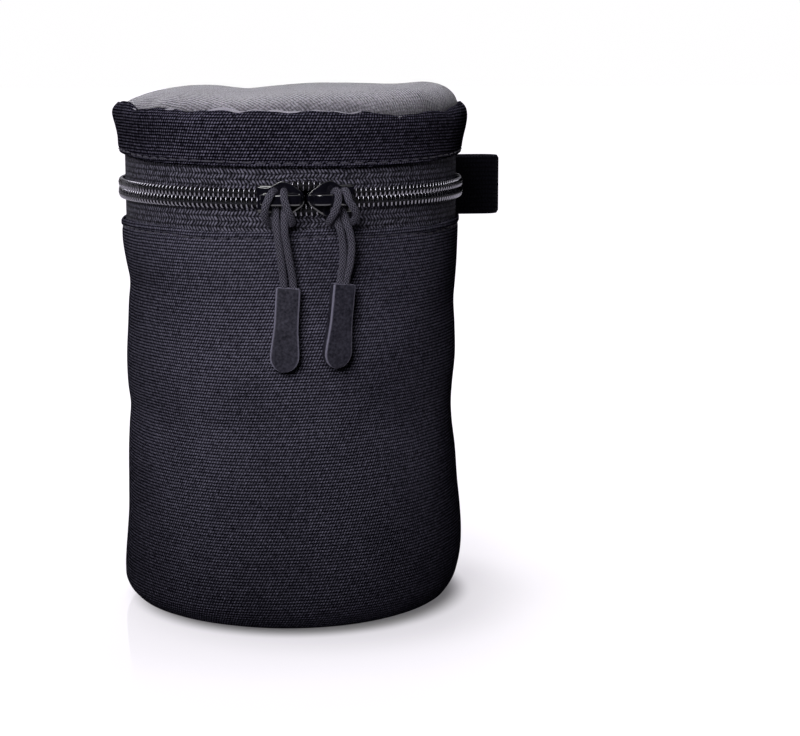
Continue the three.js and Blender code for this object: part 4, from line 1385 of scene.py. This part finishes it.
def add_inside():
    """The padding, the lining, the base's layers and the bindings."""
    padding, lining, binding = (FOAM, "foam"), (LINING, "lining"), (TAPE, "binding")
    wall = soft_ring("body_padding", [
        [45.9, 1.9], [46.2, 1.7], [49.5, 6], [51.0, 12], [51.6, 20], [50.8, 40], [49.1, 58],
        [48.9, 66], [49.6, 80], [49.4, 96], [50.6, 108], [50.9, 112.4], [50.45, 113.2],
        [50.45, 118.0], [50.2, 118.1], [45.9, 113.9]], padding, "body", "body_foam", 0.1, 1)
    soft_ring("body_lining_cloth", [
        [45.0, 8.9], [45.6, 8.8], [45.6, 60], [45.6, 113.9], [50.1, 118.6], [50.3, 119.2],
        [49.8, 119.3], [45.0, 114.6], [45.0, 60]], lining, "body", "body_lining", 0.12, 2)
    base = soft_disc("base_padding", 45.4, 1.55, 7.4, padding, "body", "base_foam")
    soft_disc("base_lining_cloth", 45.4, 7.8, 8.4, lining, "body", "base_lining", 0.5)
    soft_disc("base_cloth", 46.2, 0.0, 1.2, (RIBBED, "outer_fabric"), "body", "base_panel")
    soft_ring("base_corner_binding", [[41.9, 8.95], [44.7, 8.7], [44.8, 11.5]],
              binding, "body", "base_binding", 0.05)
    band = soft_ring("lid_band_padding", [
        [45.9, 145.1], [50.2, 140.5], [50.5, 140.6], [50.5, 147.9], [52.0, 148.2], [52.0, 149.9],
        [45.9, 150.0]], padding, "lid", "lid_band_foam", 0.05, 1)
    soft_ring("lid_band_lining_cloth", [
        [45.0, 144.3], [49.8, 139.3], [50.3, 139.5], [50.1, 140.0], [45.6, 144.6], [45.6, 149.3],
        [45.0, 149.3]], lining, "lid", "lid_band_lining", 0.1, 2)
    soft_disc("lid_top_lining_cloth", 45.4, 149.7, 150.3, lining, "lid", "lid_top_lining")
    soft_ring("lid_corner_binding", [[41.9, 149.25], [44.7, 149.4], [44.8, 146.6]],
              binding, "lid", "lid_binding", 0.05)


add_inside()


# Floor, light and background

FLOOR_WIDTH = 12.0
WORLD_LEVEL = 0.03
WORLD_COLOUR = (1, 0.995, 1, 1)
FLOOR_GLOSS = 0.13
FLOOR_LEVEL = 0.975          # the floor's own white close to the pouch
FAR_LEVEL = 1.12
FAR_START = 0.065           # from here out the floor's own white grows
FAR_END = 0.3
# Painted shadow on the floor: its own white is dimmed round the base, close in and then more softly
CONTACT_PLACE = (0.0015, -0.001, 0)
CONTACT_REACH = (0.0465, 0.056)
CONTACT_PAINTED_SHADOW = 0.62
SOFT_PLACE = (0.01, -0.008, 0)
SOFT_REACH = (0.04, 0.072)
SOFT_PAINTED_SHADOW = 0.2
GLOSS_REACH = (0.055, 0.11)
SURROUND_RADIUS = 0.75
SURROUND_HEIGHT = 0.75
SURROUND_ANGLES = (-125, 172)    # degrees from the front
LAMP_SIZE = 0.3
LAMPS = {                   # place, target, watts, and spread in degrees
    "top_lamp": ((0.04, 0.45, 1.0), (0, 0, 0.1), 2.6, 180),
    "key_lamp": ((-0.165, -0.435, 0.337), (0, 0, 0.14), 0.238, 45),
}


def through(tree):
    """1 for the rays that look straight at a surface or see it in gloss or glass."""
    path = add_node(tree, "LightPath", {})
    camera, glossy, glass = (Field(tree, path.outputs[f"Is {kind} Ray"])
                             for kind in ("Camera", "Glossy", "Transmission"))
    return camera.highest(glossy).highest(glass)


def floor_white():
    """White where it is looked at, with a painted shadow round the base, and a faint reflection of
    the pouch.
    """
    finish = Finish("floor_white", Specular_IOR_Level=0.0, Roughness=0.9,
                    Emission_Color=(0.97, 0.94, 1, 1))
    tree = finish.tree
    seen = through(tree)
    finish.colour(seen, (0.03, 0.03, 0.033, 1), (0.3, 0.305, 0.29, 1))
    level = finish.around((0, 0, 0), (FAR_START, FAR_END), FLOOR_LEVEL, FAR_LEVEL)
    level = level - finish.around(CONTACT_PLACE, CONTACT_REACH, CONTACT_PAINTED_SHADOW, 0)
    level = (level - finish.around(SOFT_PLACE, SOFT_REACH, SOFT_PAINTED_SHADOW, 0)) * seen
    tree.links.new(level.socket, finish.shader.inputs["Emission Strength"])
    gloss = add_node(tree, "BsdfGlossy", {"Roughness": 0.05, "Color": (0.93, 0.9, 1, 1)})
    share = finish.around((0, 0, 0), GLOSS_REACH, FLOOR_GLOSS, 0)
    mix = add_node(tree, "MixShader",
                   {0: share, 1: finish.shader.outputs[0], 2: gloss.outputs[0]})
    tree.links.new(mix.outputs[0], tree.nodes["Material Output"].inputs[0])
    return finish.material


def add_surround():
    """A black studio wall in front, seen only in gloss, so that dark metal and nylon stay dark."""
    angles = np.linspace(*SURROUND_ANGLES, 41)
    heights = np.array([[0.002], [SURROUND_HEIGHT]])
    points = round_point(angles[None], SURROUND_RADIUS, heights)
    finish = Finish("surround_black", Specular_IOR_Level=0.0, Roughness=1.0)
    finish.colour(finish.noise(200, 2), (0.004, 0.004, 0.004, 1), (0.012, 0.012, 0.012, 1))
    wall = Surface().grid(points, np.radians(angles)[None], heights, "open").build(
        "surround", finish.material)
    wall.visible_camera = wall.visible_diffuse = wall.visible_shadow = False


def add_floor():
    """A plain floor, far wider than the view."""
    half = FLOOR_WIDTH / 2
    mesh = bpy.data.meshes.new("floor")
    mesh.from_pydata([(-half, -half, 0), (half, -half, 0), (half, half, 0), (-half, half, 0)], [],
                     [(0, 1, 2, 3)])
    floor = bpy.data.objects.new("floor", mesh)
    scene.collection.objects.link(floor)
    mesh.materials.append(floor_white())


def add_world():
    """White where it is looked at or mirrored, and dim as a light."""
    world = bpy.data.worlds.new("studio")
    scene.world = world
    world.use_nodes = True
    tree = world.node_tree
    background = tree.nodes["Background"]
    background.inputs["Color"].default_value = WORLD_COLOUR
    level = through(tree) * (1 - WORLD_LEVEL) + WORLD_LEVEL
    tree.links.new(level.socket, background.inputs["Strength"])


def add_lamp(name, place, target, power, spread):
    """A round soft lamp that points at a target."""
    lamp = bpy.data.lights.new(name, "AREA")
    lamp.shape = "DISK"
    lamp.size = LAMP_SIZE
    lamp.energy = power
    lamp.spread = math.radians(spread)
    holder = bpy.data.objects.new(name, lamp)
    scene.collection.objects.link(holder)
    holder.location = place
    holder.rotation_euler = (Vector(target) - Vector(place)).to_track_quat("-Z", "Y").to_euler()


add_floor()
add_world()
for lamp_name, lamp_values in LAMPS.items():
    add_lamp(lamp_name, *lamp_values)
add_surround()
scene.view_settings.view_transform = "Standard"
